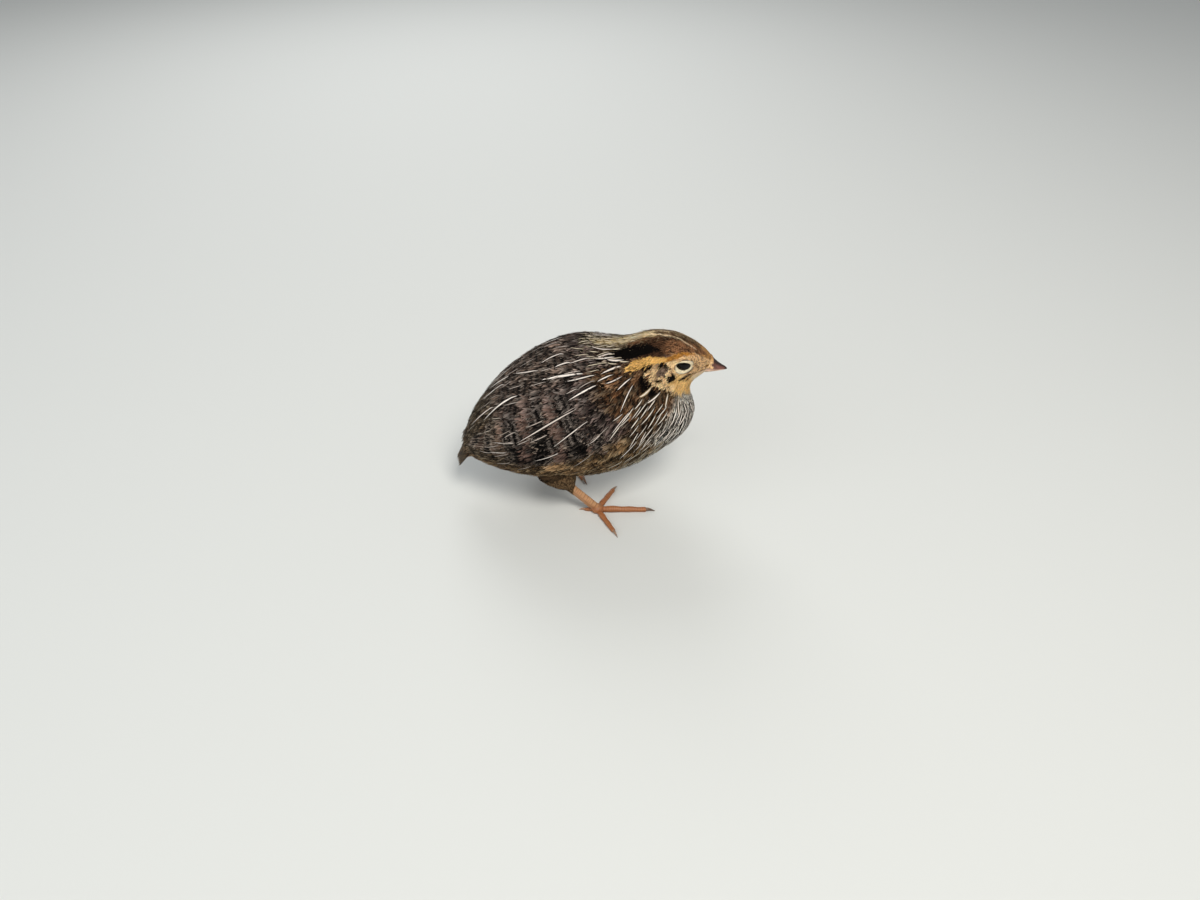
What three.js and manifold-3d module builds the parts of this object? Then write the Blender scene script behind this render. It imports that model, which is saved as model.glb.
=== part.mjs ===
// A young coturnix quail standing at rest, life size, in millimetres with +Z up.
// It faces +X, its left side is +Y, and its toes rest on the floor at Z = 0, below the
// middle of its length and width.
import * as THREE from 'three';
import { mergeVertices } from 'three/addons/utils/BufferGeometryUtils.js';
import Module from 'manifold-3d';

const wasm = await Module();
wasm.setup();

// Driving sizes
const BILL_TIP = [63.4, 71.1]; // x and z of the tip of the bill
const TAIL_TIP = [-63.4, 19.2]; // x and z of the tip of the tail
const GAP = 0.3; // between neighbouring pieces

// Sections of the body from the root of the bill to the root of the tail. Each lies in a
// plane across the body, from a point of the back line to one of the under line (x, z).
const SECTIONS = [
  { at: 'brow', back: [56.0, 78.2], under: [53.6, 70.4], half: 3.0 },
  { at: 'lores', back: [52.8, 81.6], under: [51.4, 69.0], half: 5.2 },
  { at: 'eye', back: [47.0, 85.8], under: [48.8, 67.0], half: 7.8 },
  { at: 'crown', back: [38.6, 89.4], under: [47.4, 64.6], half: 9.8 },
  { at: 'occiput', back: [28.6, 89.9], under: [47.2, 60.6], half: 11.6 },
  { at: 'nape', back: [17.1, 86.4], under: [48.4, 55.6], half: 14.4 },
  { at: 'hackle', back: [6.6, 85.2], under: [49.6, 49.2], half: 19.0 },
  { at: 'mantle', back: [-3.4, 85.3], under: [46.4, 40.8], half: 24.0 },
  { at: 'shoulder', back: [-12.9, 83.0], under: [36.2, 31.6], half: 27.6 },
  { at: 'back', back: [-21.9, 78.4], under: [21.6, 22.5], half: 29.6 },
  { at: 'saddle', back: [-30.4, 72.2], under: [2.6, 18.0], half: 29.6 },
  { at: 'loin', back: [-38.9, 64.4], under: [-17.4, 16.8], half: 26.8 },
  { at: 'rump', back: [-46.4, 55.2], under: [-33.9, 18.2], half: 21.5 },
  { at: 'vent', back: [-52.9, 45.5], under: [-46.4, 21.0], half: 15.0 },
  { at: 'tail root', back: [-57.4, 35.5], under: [-54.4, 23.0], half: 8.0 },
];
const BODY_SIDES = 28; // points round each section

// Where the body is parted, in sections from the bill
const HEAD_END = 4.4;
const NECK_END = 6.5;
const TORSO_END = 12.9;

// The folded wing lies on a sheet that follows the flank. Lengths run back from the wrist,
// widths run down the side, and heights are measured from the outline of the bird.
const WING = {
  start: 6.75, // section of the wrist
  end: 13.75, // section of the tip of the longest feather
  length: 78,
  bed: -4.1, // height of the bed that the wing leaves in the flank
  clear: 0.5, // between the bed and the wing
  rim: 0.8, // how far the shell reaches past the half width
  mid: [92, 80, 70, 66, 63, 62], // middle line, degrees from the back, wrist to tip
  half: [7, 14.5, 16.5, 15, 11, 4], // half width, wrist to tip
  millimetresPerRadian: 30,
  edgeFall: 0.25, // of the shell's face towards its upper and lower edge
  coreLength: 60, // of the shell that the feathers grow from
  coreTop: [-1.0, -2.3], // height of its outer face at the wrist and at its end
};
// Tiers of wing feathers: where they root, how many, length, width and how far they spread
const WING_TIERS = [
  { name: 'lesser coverts', root: 2.5, count: 4, length: 17, width: 7.6, spread: 0.76 },
  { name: 'median coverts', root: 13.5, count: 5, length: 18, width: 8.0, spread: 0.8 },
  { name: 'greater coverts', root: 24.5, count: 6, length: 20, width: 7.4, spread: 0.82 },
  { name: 'secondaries', root: 36.0, count: 6, length: 25, width: 7.2, spread: 0.82 },
  { name: 'primaries', root: 50.5, count: 5, length: 26.5, width: 6.0, spread: 0.8 },
];
const VANE = {
  thick: 0.5,
  tipThick: 0.34,
  sink: 0.35, // of a root below the face that it grows from
  rise: 0.08, // for each millimetre of length
  lap: 0.28, // step between one vane and the next of its tier
  camber: 0.12, // of the shaft over the edges
};
const VANE_STATIONS = [0, 0.4, 0.72, 0.91, 1]; // shares of a vane's length
const VANE_WIDTHS = [0.5, 1, 0.92, 0.66, 0.2]; // and its width there

// The tail: feathers of one side from the middle pair outwards, and the coverts over and
// under them
const TAIL = {
  root: [-53.2, 31.5], // x and z where the middle feathers root
  pairs: 4,
  rootSpacing: 1.5,
  tipSpacing: 2.15,
  width: 4.9,
  shortening: 0.55, // of each pair against the next inner one
  droop: 0.02, // fall of the outer feathers by the square of their distance out
  crown: 0.9, // rise of a feather's middle over its ends
  lap: 0.34, // step between one pair and the next
  covertRoot: 13.2, // section where the coverts root
  over: { count: 4, middle: 0, spread: 44, reach: 9.5 },
  under: { count: 3, middle: 180, spread: 36, reach: 6.5 },
};

// The eye: centre of the ball, opening between the lids as half widths, and the lids
const EYE = {
  at: [42.9, 4.9, 78.4],
  radius: 4.3,
  clearance: 0.35,
  opening: [2.85, 2.2],
  lidWidth: 1.3,
  lidHeight: 0.45, // of the lid's crest over the ball
  lidCrest: 0.4, // from the opening out to the crest
  lidSink: 0.8, // of the lid's outer edge below the crest
};

// The swellings and hollows of the face: section and degrees from the back at the middle of
// each, its spread in both, and its height in millimetres
const FACE = [
  { name: 'brow', at: [2.5, 56], spread: [0.8, 13], height: 0.7 },
  { name: 'lores', at: [1.3, 84], spread: [0.5, 20], height: -0.5 },
  { name: 'cheek', at: [3.2, 118], spread: [0.8, 22], height: 0.8 },
];

// The bill, the line of the mouth, and the nostrils at a share of the bill's length and
// height, each a slot with its half sizes
const BILL = {
  rootHalfWidth: 3.0,
  mouthHeight: 71.9, // of the line of the mouth at the root
  gape: 49.6, // x of the corner of the mouth
  overhang: 1.1, // of the upper tip past the lower one
  tipHalfWidth: 0.35,
  tipDepth: 0.3,
  taper: 1.7, // power by which the sides draw in
  pinch: 0.12, // narrowing of the ridge against the mouth
  hollow: 1.5, // power by which the upper ridge falls
  nail: { depth: 0.14, power: 14 }, // share of the root's depth kept to the hooked tip
};
const NOSTRIL = {
  at: 0.3,
  up: 0.5,
  out: 0.86, // of the bill's half width
  size: [1.25, 0.5, 0.55],
  tilt: 24,
  flap: [1.25, 0.45], // size of the flap over the slot against it, and how far it lies over it
  slot: [1, -0.35],
};

// The legs. The left foot stands further back than the right one, and the scutes are plates
// whose front edges rise over the next.
const LEG = {
  stance: 18.3, // of each foot from the middle
  rightFoot: 5.0, // x of each foot
  leftFoot: -10.0,
  hockBack: 14.5, // from the foot to the top of the bare shank
  hockUp: 15.5,
  shankRadius: [2.2, 1.75], // along and across the shank
  shankScutes: 8,
  ball: [3.0, 2.9, 2.3], // half sizes of the joint that the toes spread from
  ballHeight: 1.8,
  scuteLift: 0.16, // of a plate's front edge, as a share of the radius
  scuteLength: 2.4,
  scuteEdge: 0.85, // where the raised front edge of a plate lies along it
  toeRoot: 1.2, // from the middle of the foot
};
// The feathered thigh: its root over the top of the shank, half sizes from root to shank,
// and how far it hangs over the shank
const THIGH = {
  root: [-5.0, 10.0], // x and z from the top of the shank
  across: [7.6, 3.9],
  upright: [10.0, 4.6],
  overhang: 2.2,
};
// Toes: angle outwards from straight ahead, length with the claw, and radius
const TOES = [
  { name: 'inner', angle: -61, length: 20.2, claw: 3.6, radius: 1.5 },
  { name: 'middle', angle: 0, length: 28.0, claw: 4.2, radius: 1.7 },
  { name: 'outer', angle: 62, length: 20.4, claw: 3.6, radius: 1.5 },
  { name: 'hind', angle: 186, length: 9.0, claw: 2.6, radius: 1.15 },
];

// Materials
const finish = (colour, roughness) =>
  new THREE.MeshStandardMaterial({ color: colour, roughness, metalness: 0 });
const FINISH = {
  plumageHead: finish(0x7a5a36, 0.85),
  plumageNeck: finish(0x4a3a2b, 0.85),
  plumageBody: finish(0x5a4a3c, 0.85),
  plumageWing: finish(0x4c4038, 0.8),
  plumageTail: finish(0x3a302a, 0.8),
  eye: finish(0x0a0705, 0.05),
  upperBill: finish(0x6b4036, 0.4),
  lowerBill: finish(0xb08a78, 0.45),
  legSkin: finish(0xd08a5c, 0.55),
  claw: finish(0x8a7466, 0.4),
};

// Small helpers
const clamp = THREE.MathUtils.clamp;
const smooth = THREE.MathUtils.smoothstep;
const vector = (x, y, z) => new THREE.Vector3(x, y, z);
const radians = THREE.MathUtils.degToRad;

// A value at a place along an evenly spaced row of values, on a curve through all of them.
function through(values, place) {
  const last = values.length - 1;
  const i = clamp(Math.floor(place), 0, last - 1);
  const f = place - i;
  const b = values[i];
  const c = values[i + 1];
  const a = i > 0 ? values[i - 1] : 2 * b - c;
  const d = i + 2 <= last ? values[i + 2] : 2 * c - b;
  return 0.5 * (2 * b + (c - a) * f + (2 * a - 5 * b + 4 * c - d) * f * f
    + (3 * b - a - 3 * c + d) * f * f * f);
}

const ROWS = {
  backX: SECTIONS.map((s) => s.back[0]),
  backZ: SECTIONS.map((s) => s.back[1]),
  underX: SECTIONS.map((s) => s.under[0]),
  underZ: SECTIONS.map((s) => s.under[1]),
  half: SECTIONS.map((s) => s.half),
};

// A point of the bird's outline: t counts sections from the bill, and v turns from the back
// (0) down the right side (90 degrees) to the belly and up the left side.
function outline(t, v) {
  const down = (1 - Math.cos(v)) / 2;
  const backX = through(ROWS.backX, t);
  const backZ = through(ROWS.backZ, t);
  return vector(
    backX + (through(ROWS.underX, t) - backX) * down,
    -through(ROWS.half, t) * Math.sin(v),
    backZ + (through(ROWS.underZ, t) - backZ) * down,
  );
}

// The relief of the face at a place of the outline, alike on both sides.
function relief(t, v) {
  if (t > HEAD_END) return 0;
  const degrees = THREE.MathUtils.radToDeg(v > Math.PI ? 2 * Math.PI - v : v);
  return FACE.reduce((sum, { at, spread, height }) =>
    sum + height * Math.exp(-(((t - at[0]) / spread[0]) ** 2) - ((degrees - at[1]) / spread[1]) ** 2), 0);
}

// The same surface moved outwards along its normal by a height.
function surface(t, v, height = 0) {
  const step = 0.02;
  const point = outline(t, v);
  const last = SECTIONS.length - 1;
  const t0 = clamp(t - step, 0, last);
  const t1 = clamp(t + step, 0, last);
  const along = outline(t1, v).sub(outline(t0, v));
  const round = outline(t, v + step).sub(outline(t, v - step));
  return point.addScaledVector(along.cross(round).normalize(), height);
}

const wingMiddle = (s) =>
  radians(through(WING.mid, (clamp(s, 0, WING.length) / WING.length) * (WING.mid.length - 1)));
const wingHalf = (s) =>
  through(WING.half, (clamp(s, 0, WING.length) / WING.length) * (WING.half.length - 1));

// A point over the flank: s back from the wrist, q down from the wing's middle line, and a
// height over the outline. The sheet is made for the right side.
function onFlank(s, q, height) {
  const t = WING.start + (s / WING.length) * (WING.end - WING.start);
  return surface(t, wingMiddle(s) + q / WING.millimetresPerRadian, height);
}

// A closed geometry through a row of rings with equal numbers of points, capped at both ends.
function loft(rings) {
  const sides = rings[0].length;
  const positions = [];
  const faces = [];
  for (const ring of rings) for (const p of ring) positions.push(p.x, p.y, p.z);
  for (let i = 0; i + 1 < rings.length; i += 1) {
    for (let j = 0; j < sides; j += 1) {
      const a = i * sides + j;
      const b = i * sides + ((j + 1) % sides);
      faces.push(a, b, b + sides, a, b + sides, a + sides);
    }
  }
  const cap = (ring, first, flip) => {
    const centre = ring.reduce((sum, p) => sum.add(p), vector(0, 0, 0)).divideScalar(sides);
    const index = positions.length / 3;
    positions.push(centre.x, centre.y, centre.z);
    for (let j = 0; j < sides; j += 1) {
      const a = first + j;
      const b = first + ((j + 1) % sides);
      faces.push(index, flip ? b : a, flip ? a : b);
    }
  };
  cap(rings[0], 0, true);
  cap(rings[rings.length - 1], (rings.length - 1) * sides, false);
  return outward(positions, faces);
}

// A geometry whose faces point out, from closed faces that all turn one way.
function outward(positions, faces) {
  const p = (i) => vector(positions[3 * i], positions[3 * i + 1], positions[3 * i + 2]);
  let volume = 0;
  for (let i = 0; i < faces.length; i += 3) {
    volume += p(faces[i]).dot(p(faces[i + 1]).cross(p(faces[i + 2])));
  }
  if (volume < 0) {
    for (let i = 0; i < faces.length; i += 3) {
      [faces[i + 1], faces[i + 2]] = [faces[i + 2], faces[i + 1]];
    }
  }
  const geometry = new THREE.BufferGeometry();
  geometry.setAttribute('position', new THREE.Float32BufferAttribute(positions, 3));
  geometry.setIndex(faces);
  return geometry;
}

// A geometry as a solid that can be joined and cut.
function solid(geometry) {
  const bare = geometry.clone();
  bare.deleteAttribute('normal');
  bare.deleteAttribute('uv');
  const merged = mergeVertices(bare, 1e-4);
  return new wasm.Manifold(new wasm.Mesh({
    numProp: 3,
    vertProperties: new Float32Array(merged.attributes.position.array),
    triVerts: new Uint32Array(merged.index.array),
  }));
}

// A solid as a geometry again, of its largest closed piece.
function shape(whole) {
  const pieces = whole.decompose();
  pieces.sort((a, b) => b.volume() - a.volume());
  const mesh = pieces[0].getMesh();
  const geometry = new THREE.BufferGeometry();
  geometry.setAttribute('position', new THREE.Float32BufferAttribute(mesh.vertProperties, 3));
  geometry.setIndex(Array.from(mesh.triVerts));
  return geometry;
}

// A thin slab that parts the body at a section: a square plate of the gap's thickness.
function slab(t, size = 120) {
  const back = outline(t, 0);
  const under = outline(t, Math.PI);
  const down = under.clone().sub(back).normalize();
  const across = vector(0, 1, 0);
  const facing = down.clone().cross(across);
  const plate = new THREE.BoxGeometry(size, size, GAP);
  plate.applyMatrix4(new THREE.Matrix4().makeBasis(down, across, facing));
  const centre = back.add(under).multiplyScalar(0.5);
  plate.translate(centre.x, centre.y, centre.z);
  return solid(plate);
}

// Rings of the body between two sections, grown outwards by a little.
function bodyRings(from, to, perSection, grow = 0) {
  const rings = [];
  const count = Math.round((to - from) * perSection);
  for (let i = 0; i <= count; i += 1) {
    const t = from + ((to - from) * i) / count;
    const ring = [];
    for (let j = 0; j < BODY_SIDES; j += 1) {
      const v = (2 * Math.PI * j) / BODY_SIDES;
      ring.push(surface(t, v, grow + relief(t, v)));
    }
    rings.push(ring);
  }
  return rings;
}

// The body whole, then parted into head, neck, torso and the root of the tail.
function partBody() {
  const last = SECTIONS.length - 1;
  let body = solid(loft([
    ...bodyRings(0, HEAD_END - 0.4, 2),
    ...bodyRings(HEAD_END, last, 2),
  ]));
  for (const cut of [HEAD_END, NECK_END, TORSO_END]) body = body.subtract(slab(cut));
  const pieces = body.decompose();
  const centre = (piece) => {
    const box = piece.boundingBox();
    return (box.min[0] + box.max[0]) / 2;
  };
  pieces.sort((a, b) => centre(b) - centre(a));
  return { head: pieces[0], neck: pieces[1], torso: pieces[2], tailRoot: pieces[3] };
}

// The eyeball of one side, -1 for the right and 1 for the left.
function eyeball(side, grow = 0) {
  const ball = new THREE.SphereGeometry(EYE.radius + grow, 14, 10);
  ball.rotateX(Math.PI / 2);
  ball.translate(EYE.at[0], side * EYE.at[1], EYE.at[2]);
  return ball;
}

// The share of the root's depth that a half of the bill keeps at f of its length: the under
// line is straight, and the ridge falls in a hollow curve to a hooked tip.
function ridgeShare(which, f) {
  if (which < 0) return 1 - f;
  const { depth, power } = BILL.nail;
  return (1 - depth) * (1 - f) ** BILL.hollow + depth * (1 - f ** power);
}

// Half of the bill, closed along the line of the mouth: 1 for the upper, -1 for the lower.
function billHalf(which) {
  const root = outline(0, Math.PI / 2);
  const back = outline(0, 0);
  const under = outline(0, Math.PI);
  const lean = (back.x - under.x) / (back.z - under.z);
  const tip = which > 0 ? BILL_TIP : [BILL_TIP[0] - BILL.overhang, BILL_TIP[1]];
  const steps = 7;
  const sides = 14;
  const rings = [];
  for (let i = 0; i <= steps; i += 1) {
    const f = i / steps;
    const mouth = THREE.MathUtils.lerp(BILL.mouthHeight, tip[1], f * f);
    const depth = which > 0 ? back.z - BILL.mouthHeight : BILL.mouthHeight - under.z;
    const height = (depth - GAP) * ridgeShare(which, f) + BILL.tipDepth;
    const half = BILL.rootHalfWidth * (1 - f ** BILL.taper) + BILL.tipHalfWidth;
    const ring = [];
    for (let j = 0; j < sides; j += 1) {
      const a = (Math.PI * j) / (sides - 1);
      const rise = which * (GAP / 2 + height * Math.sin(a));
      const x = THREE.MathUtils.lerp(root.x + 1.05 * GAP, tip[0], f);
      ring.push(vector(
        x + (mouth + rise - root.z) * lean * (1 - f),
        half * Math.cos(a) * (1 - BILL.pinch * Math.sin(a)),
        mouth + rise,
      ));
    }
    rings.push(ring);
  }
  return solid(loft(rings));
}

// The upper bill with its nostrils: a slot on each side below a swollen flap.
function upperBill() {
  let bill = billHalf(1);
  const { at, up, out, size, tilt, flap, slot } = NOSTRIL;
  const root = outline(0, Math.PI / 2);
  const x = THREE.MathUtils.lerp(root.x, BILL_TIP[0], at);
  const z = BILL.mouthHeight + (outline(0, 0).z - BILL.mouthHeight) * up * ridgeShare(1, at);
  for (const side of [-1, 1]) {
    const blob = (grow, lift) => {
      const ball = new THREE.SphereGeometry(1, 8, 5);
      ball.scale(size[0] * grow, size[1] * grow, size[2] * grow);
      ball.rotateY(radians(tilt));
      ball.translate(x, side * BILL.rootHalfWidth * out, z + lift);
      return solid(ball);
    };
    bill = bill.add(blob(...flap)).subtract(blob(...slot));
  }
  return bill;
}

// A lid ring round one eye: a band from the opening out into the head, raised at its margin.
function lidRing(side) {
  const steps = 16;
  const centre = vector(EYE.at[0], side * EYE.at[1], EYE.at[2]);
  const inside = EYE.radius + EYE.clearance - 0.2;
  const onBall = (turn, out, radius) => {
    const x = (EYE.opening[0] + out) * Math.cos(turn);
    const z = (EYE.opening[1] + out) * Math.sin(turn);
    const away = Math.sqrt(Math.max(radius * radius - x * x - z * z, 1));
    return centre.clone().add(vector(x, side * away, z));
  };
  const positions = [];
  const faces = [];
  for (let i = 0; i < steps; i += 1) {
    const turn = (2 * Math.PI * i) / steps;
    const outer = EYE.radius + EYE.clearance + EYE.lidHeight;
    for (const p of [
      onBall(turn, 0, inside),
      onBall(turn, 0, (inside + 2 * outer) / 3),
      onBall(turn, EYE.lidCrest, outer),
      onBall(turn, EYE.lidWidth, outer - EYE.lidCrest),
      onBall(turn, EYE.lidWidth, inside - EYE.lidSink),
    ]) positions.push(p.x, p.y, p.z);
    for (let j = 0; j < 5; j += 1) {
      const a = i * 5 + j;
      const b = i * 5 + ((j + 1) % 5);
      const c = ((i + 1) % steps) * 5 + ((j + 1) % 5);
      const d = ((i + 1) % steps) * 5 + j;
      faces.push(a, b, c, a, c, d);
    }
  }
  return solid(outward(positions, faces));
}

// The slit of the closed mouth, from the bill back to its corners.
function mouthSlit() {
  const front = BILL_TIP[0];
  const slit = new THREE.BoxGeometry(front - BILL.gape, 30, GAP);
  slit.rotateY(radians(-3));
  slit.translate((front + BILL.gape) / 2, 0, BILL.mouthHeight - 0.2);
  return solid(slit);
}

// A closed shell on the flank of the right side, between two heights. The outer one may
// depend on the place along and across the wing, each from 0 to 1 or -1 to 1.
function flankShell(length, widen, lowest, highest) {
  const steps = Math.round(length / 5.5);
  const across = 6;
  const rings = [];
  for (let i = 0; i <= steps; i += 1) {
    const f = i / steps;
    const s = f * (length + 2 * widen) - widen;
    const half = wingHalf(s) + WING.rim + widen;
    const over = [];
    const below = [];
    for (let j = 0; j <= across; j += 1) {
      const side = 2 * (j / across) - 1;
      over.push(onFlank(s, side * half, highest(f, side)));
      below.push(onFlank(s, side * half, lowest));
    }
    rings.push([...over, ...below.reverse()]);
  }
  return loft(rings);
}

// The bed that the folded wing leaves in the flank, open outwards.
const wingBed = () => flankShell(WING.length + 2.5, WING.clear, WING.bed, () => 5);

// The height of the outer face of the shell that the wing feathers grow from.
const coreTop = (s) => THREE.MathUtils.lerp(...WING.coreTop, clamp(s / WING.coreLength, 0, 1));

const wingCore = () => flankShell(
  WING.coreLength,
  0,
  WING.bed + WING.clear,
  (f, side) => coreTop(f * WING.coreLength) - WING.edgeFall * side ** 4,
);

// A feather vane: a thin blade with a shaft ridge, of three points across on each face and
// the same triangles on both. at(e, x, h) is the point e along it, x across and h over it.
function vane(at, length, width) {
  const positions = [];
  const faces = [];
  const columns = [-0.5, 0, 0.5];
  const push = (p) => positions.push(p.x, p.y, p.z);
  VANE_STATIONS.forEach((share, i) => {
    const thick = THREE.MathUtils.lerp(VANE.thick, VANE.tipThick, share);
    for (const face of [1, 0]) {
      for (const column of columns) {
        const ridge = VANE.camber * (1 - 2 * Math.abs(column));
        push(at(share * length, column * width * VANE_WIDTHS[i], ridge + face * thick));
      }
    }
  });
  const index = (i, face, column) => i * 6 + (1 - face) * 3 + column;
  const quad = (a, b, c, d) => faces.push(a, b, c, a, c, d);
  const last = VANE_STATIONS.length - 1;
  for (let i = 0; i < last; i += 1) {
    for (let c = 0; c < 2; c += 1) {
      quad(index(i, 1, c), index(i, 1, c + 1), index(i + 1, 1, c + 1), index(i + 1, 1, c));
      faces.push(index(i, 0, c), index(i + 1, 0, c + 1), index(i, 0, c + 1));
      faces.push(index(i, 0, c), index(i + 1, 0, c), index(i + 1, 0, c + 1));
    }
    quad(index(i, 1, 0), index(i + 1, 1, 0), index(i + 1, 0, 0), index(i, 0, 0));
    quad(index(i, 1, 2), index(i, 0, 2), index(i + 1, 0, 2), index(i + 1, 1, 2));
  }
  for (let c = 0; c < 2; c += 1) {
    quad(index(0, 1, c), index(0, 0, c), index(0, 0, c + 1), index(0, 1, c + 1));
    quad(index(last, 1, c), index(last, 1, c + 1), index(last, 0, c + 1), index(last, 0, c));
  }
  return solid(outward(positions, faces));
}

// A repeatable draw between -1 and 1.
function seededDraw(seed) {
  let state = seed;
  return () => {
    state = (state * 1664525 + 1013904223) % 4294967296;
    return state / 2147483648 - 1;
  };
}

// The folded wing of the right side: a shell on the flank with its feathers in tiers.
function foldedWing() {
  const draw = seededDraw(11);
  const pieces = [solid(wingCore())];
  for (const tier of WING_TIERS) {
    for (let k = 0; k < tier.count; k += 1) {
      const place = 2 * (k / (tier.count - 1)) - 1;
      const length = tier.length * (1 + 0.035 * draw()) - 2.2 * place * place;
      const start = tier.root + 0.5 * draw();
      const rootAcross = place * tier.spread * wingHalf(start);
      const tipAcross = place * tier.spread * wingHalf(Math.min(start + length, WING.length));
      const spacing = (2 * tier.spread * wingHalf(start)) / (tier.count - 1);
      const base = coreTop(start) - VANE.sink - WING.edgeFall * place ** 4;
      const at = (e, x, h) => {
        const s = start + e;
        const limit = wingHalf(s) + WING.rim;
        const q = THREE.MathUtils.lerp(rootAcross, tipAcross, e / length) + x;
        const height = base + VANE.rise * e + (VANE.lap * x) / spacing + h - VANE.thick;
        return onFlank(s, clamp(q, -limit, limit), height);
      };
      pieces.push(vane(at, length, tier.width));
    }
  }
  return wasm.Manifold.union(pieces);
}

// A tube of oval rings along points. Rings listed as raised carry the front edge of a plate
// on their upper side, and nothing reaches below the floor.
function limb(points, across, upright, sides, raised = () => 0) {
  const rings = points.map((point, i) => {
    const next = points[Math.min(i + 1, points.length - 1)];
    const before = points[Math.max(i - 1, 0)];
    const along = next.clone().sub(before).normalize();
    const side = vector(0, 0, 1).cross(along).normalize();
    const up = along.clone().cross(side);
    const ring = [];
    for (let j = 0; j < sides; j += 1) {
      const a = (2 * Math.PI * (j + 0.5)) / sides;
      const lift = 1 + raised(i) * smooth(Math.sin(a), -0.2, 0.5);
      const p = point.clone();
      p.addScaledVector(side, across[i] * lift * Math.cos(a));
      p.addScaledVector(up, upright[i] * lift * Math.sin(a));
      p.z = Math.max(p.z, 0);
      ring.push(p);
    }
    return ring;
  });
  return solid(loft(rings));
}

// The shank with the ball of the foot, and the same grown by a gap as a cutter.
function shank(top, foot, grow) {
  const points = [];
  const count = 2 * LEG.shankScutes;
  for (let i = 0; i <= count; i += 1) {
    const plate = Math.floor(i / 2);
    const share = (plate + (i % 2) * LEG.scuteEdge) / LEG.shankScutes;
    points.push(top.clone().lerp(foot, share));
  }
  points[0].addScaledVector(top.clone().sub(foot).normalize(), grow);
  const along = points.map(() => LEG.shankRadius[0] + grow);
  const across = points.map(() => LEG.shankRadius[1] + grow);
  const ball = new THREE.SphereGeometry(1, 12, 8);
  ball.rotateX(Math.PI / 2);
  ball.scale(...LEG.ball.map((size) => size + grow));
  ball.translate(foot.x, foot.y, LEG.ballHeight);
  const heights = ball.attributes.position;
  for (let i = 0; i < heights.count; i += 1) {
    heights.setZ(i, Math.max(heights.getZ(i), grow > 0 ? -1 : 0));
  }
  const plates = (i) => (i % 2) * LEG.scuteLift;
  return limb(points, across, along, 8, plates).add(solid(ball));
}

// One toe with its claw, lying ahead of the foot at an angle, parted from the foot and at
// the root of the claw.
function toeAndClaw(toe, foot, side, ball) {
  const turn = radians(toe.angle) * side;
  const ahead = vector(Math.cos(turn), Math.sin(turn), 0);
  const bare = toe.length - toe.claw;
  const start = LEG.toeRoot;
  const plates = Math.round((bare - start) / LEG.scuteLength);
  const stations = [];
  for (let k = 0; k < plates; k += 1) {
    const length = (bare - start) / plates;
    stations.push([start + k * length, 0], [start + (k + LEG.scuteEdge) * length, LEG.scuteLift]);
  }
  stations.push([bare, 0], [bare + 0.35 * toe.claw, 0], [bare + 0.7 * toe.claw, 0], [toe.length, 0]);
  const radius = stations.map(([d]) => {
    if (d >= bare) return THREE.MathUtils.lerp(toe.radius * 0.66, 0.22, (d - bare) / toe.claw);
    return toe.radius * (0.86 + 0.14 * smooth(d, 1, 6)) * (1 - 0.2 * (d / bare));
  });
  const points = stations.map(([d], i) => {
    const height = d >= bare ? radius[i] * 1.05 + 0.35 * ((toe.length - d) / toe.claw) : radius[i] * 0.84;
    return vector(foot.x, foot.y, height).addScaledVector(ahead, d);
  });
  const whole = limb(points, radius, radius, 8, (i) => stations[i][1]).subtract(ball);
  const plate = new THREE.BoxGeometry(GAP, 6, 8);
  plate.rotateZ(turn);
  plate.translate(foot.x + ahead.x * bare, foot.y + ahead.y * bare, 1);
  const distance = (piece) => {
    const { min, max } = piece.boundingBox();
    return Math.hypot((min[0] + max[0]) / 2 - foot.x, (min[1] + max[1]) / 2 - foot.y);
  };
  const pieces = whole.subtract(solid(plate)).decompose();
  pieces.sort((a, b) => distance(a) - distance(b));
  return { bareToe: pieces[0], claw: pieces[pieces.length - 1] };
}

// The feathered thigh: from inside the flank, where it is cut clear, down to the shank.
function thigh(top, foot, torso, shankGrown) {
  const along = foot.clone().sub(top).normalize();
  const root = top.clone().add(vector(THIGH.root[0], 0, THIGH.root[1]));
  const steps = 7;
  const points = [];
  const across = [];
  const upright = [];
  for (let i = 0; i <= steps; i += 1) {
    const f = i / steps;
    const close = Math.sqrt(1 - 0.75 * f ** 4);
    points.push(root.clone().lerp(top, f).addScaledVector(along, THIGH.overhang * f * f));
    across.push(THREE.MathUtils.lerp(...THIGH.across, f) * close);
    upright.push(THREE.MathUtils.lerp(...THIGH.upright, f) * close);
  }
  return limb(points, across, upright, 14).subtract(torso).subtract(shankGrown);
}

function mirrored(geometry) {
  const copy = geometry.clone();
  const positions = copy.attributes.position;
  for (let i = 0; i < positions.count; i += 1) positions.setY(i, -positions.getY(i));
  const faces = Array.from(copy.index.array);
  for (let i = 0; i < faces.length; i += 3) [faces[i + 1], faces[i + 2]] = [faces[i + 2], faces[i + 1]];
  copy.setIndex(faces);
  return copy;
}

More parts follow.
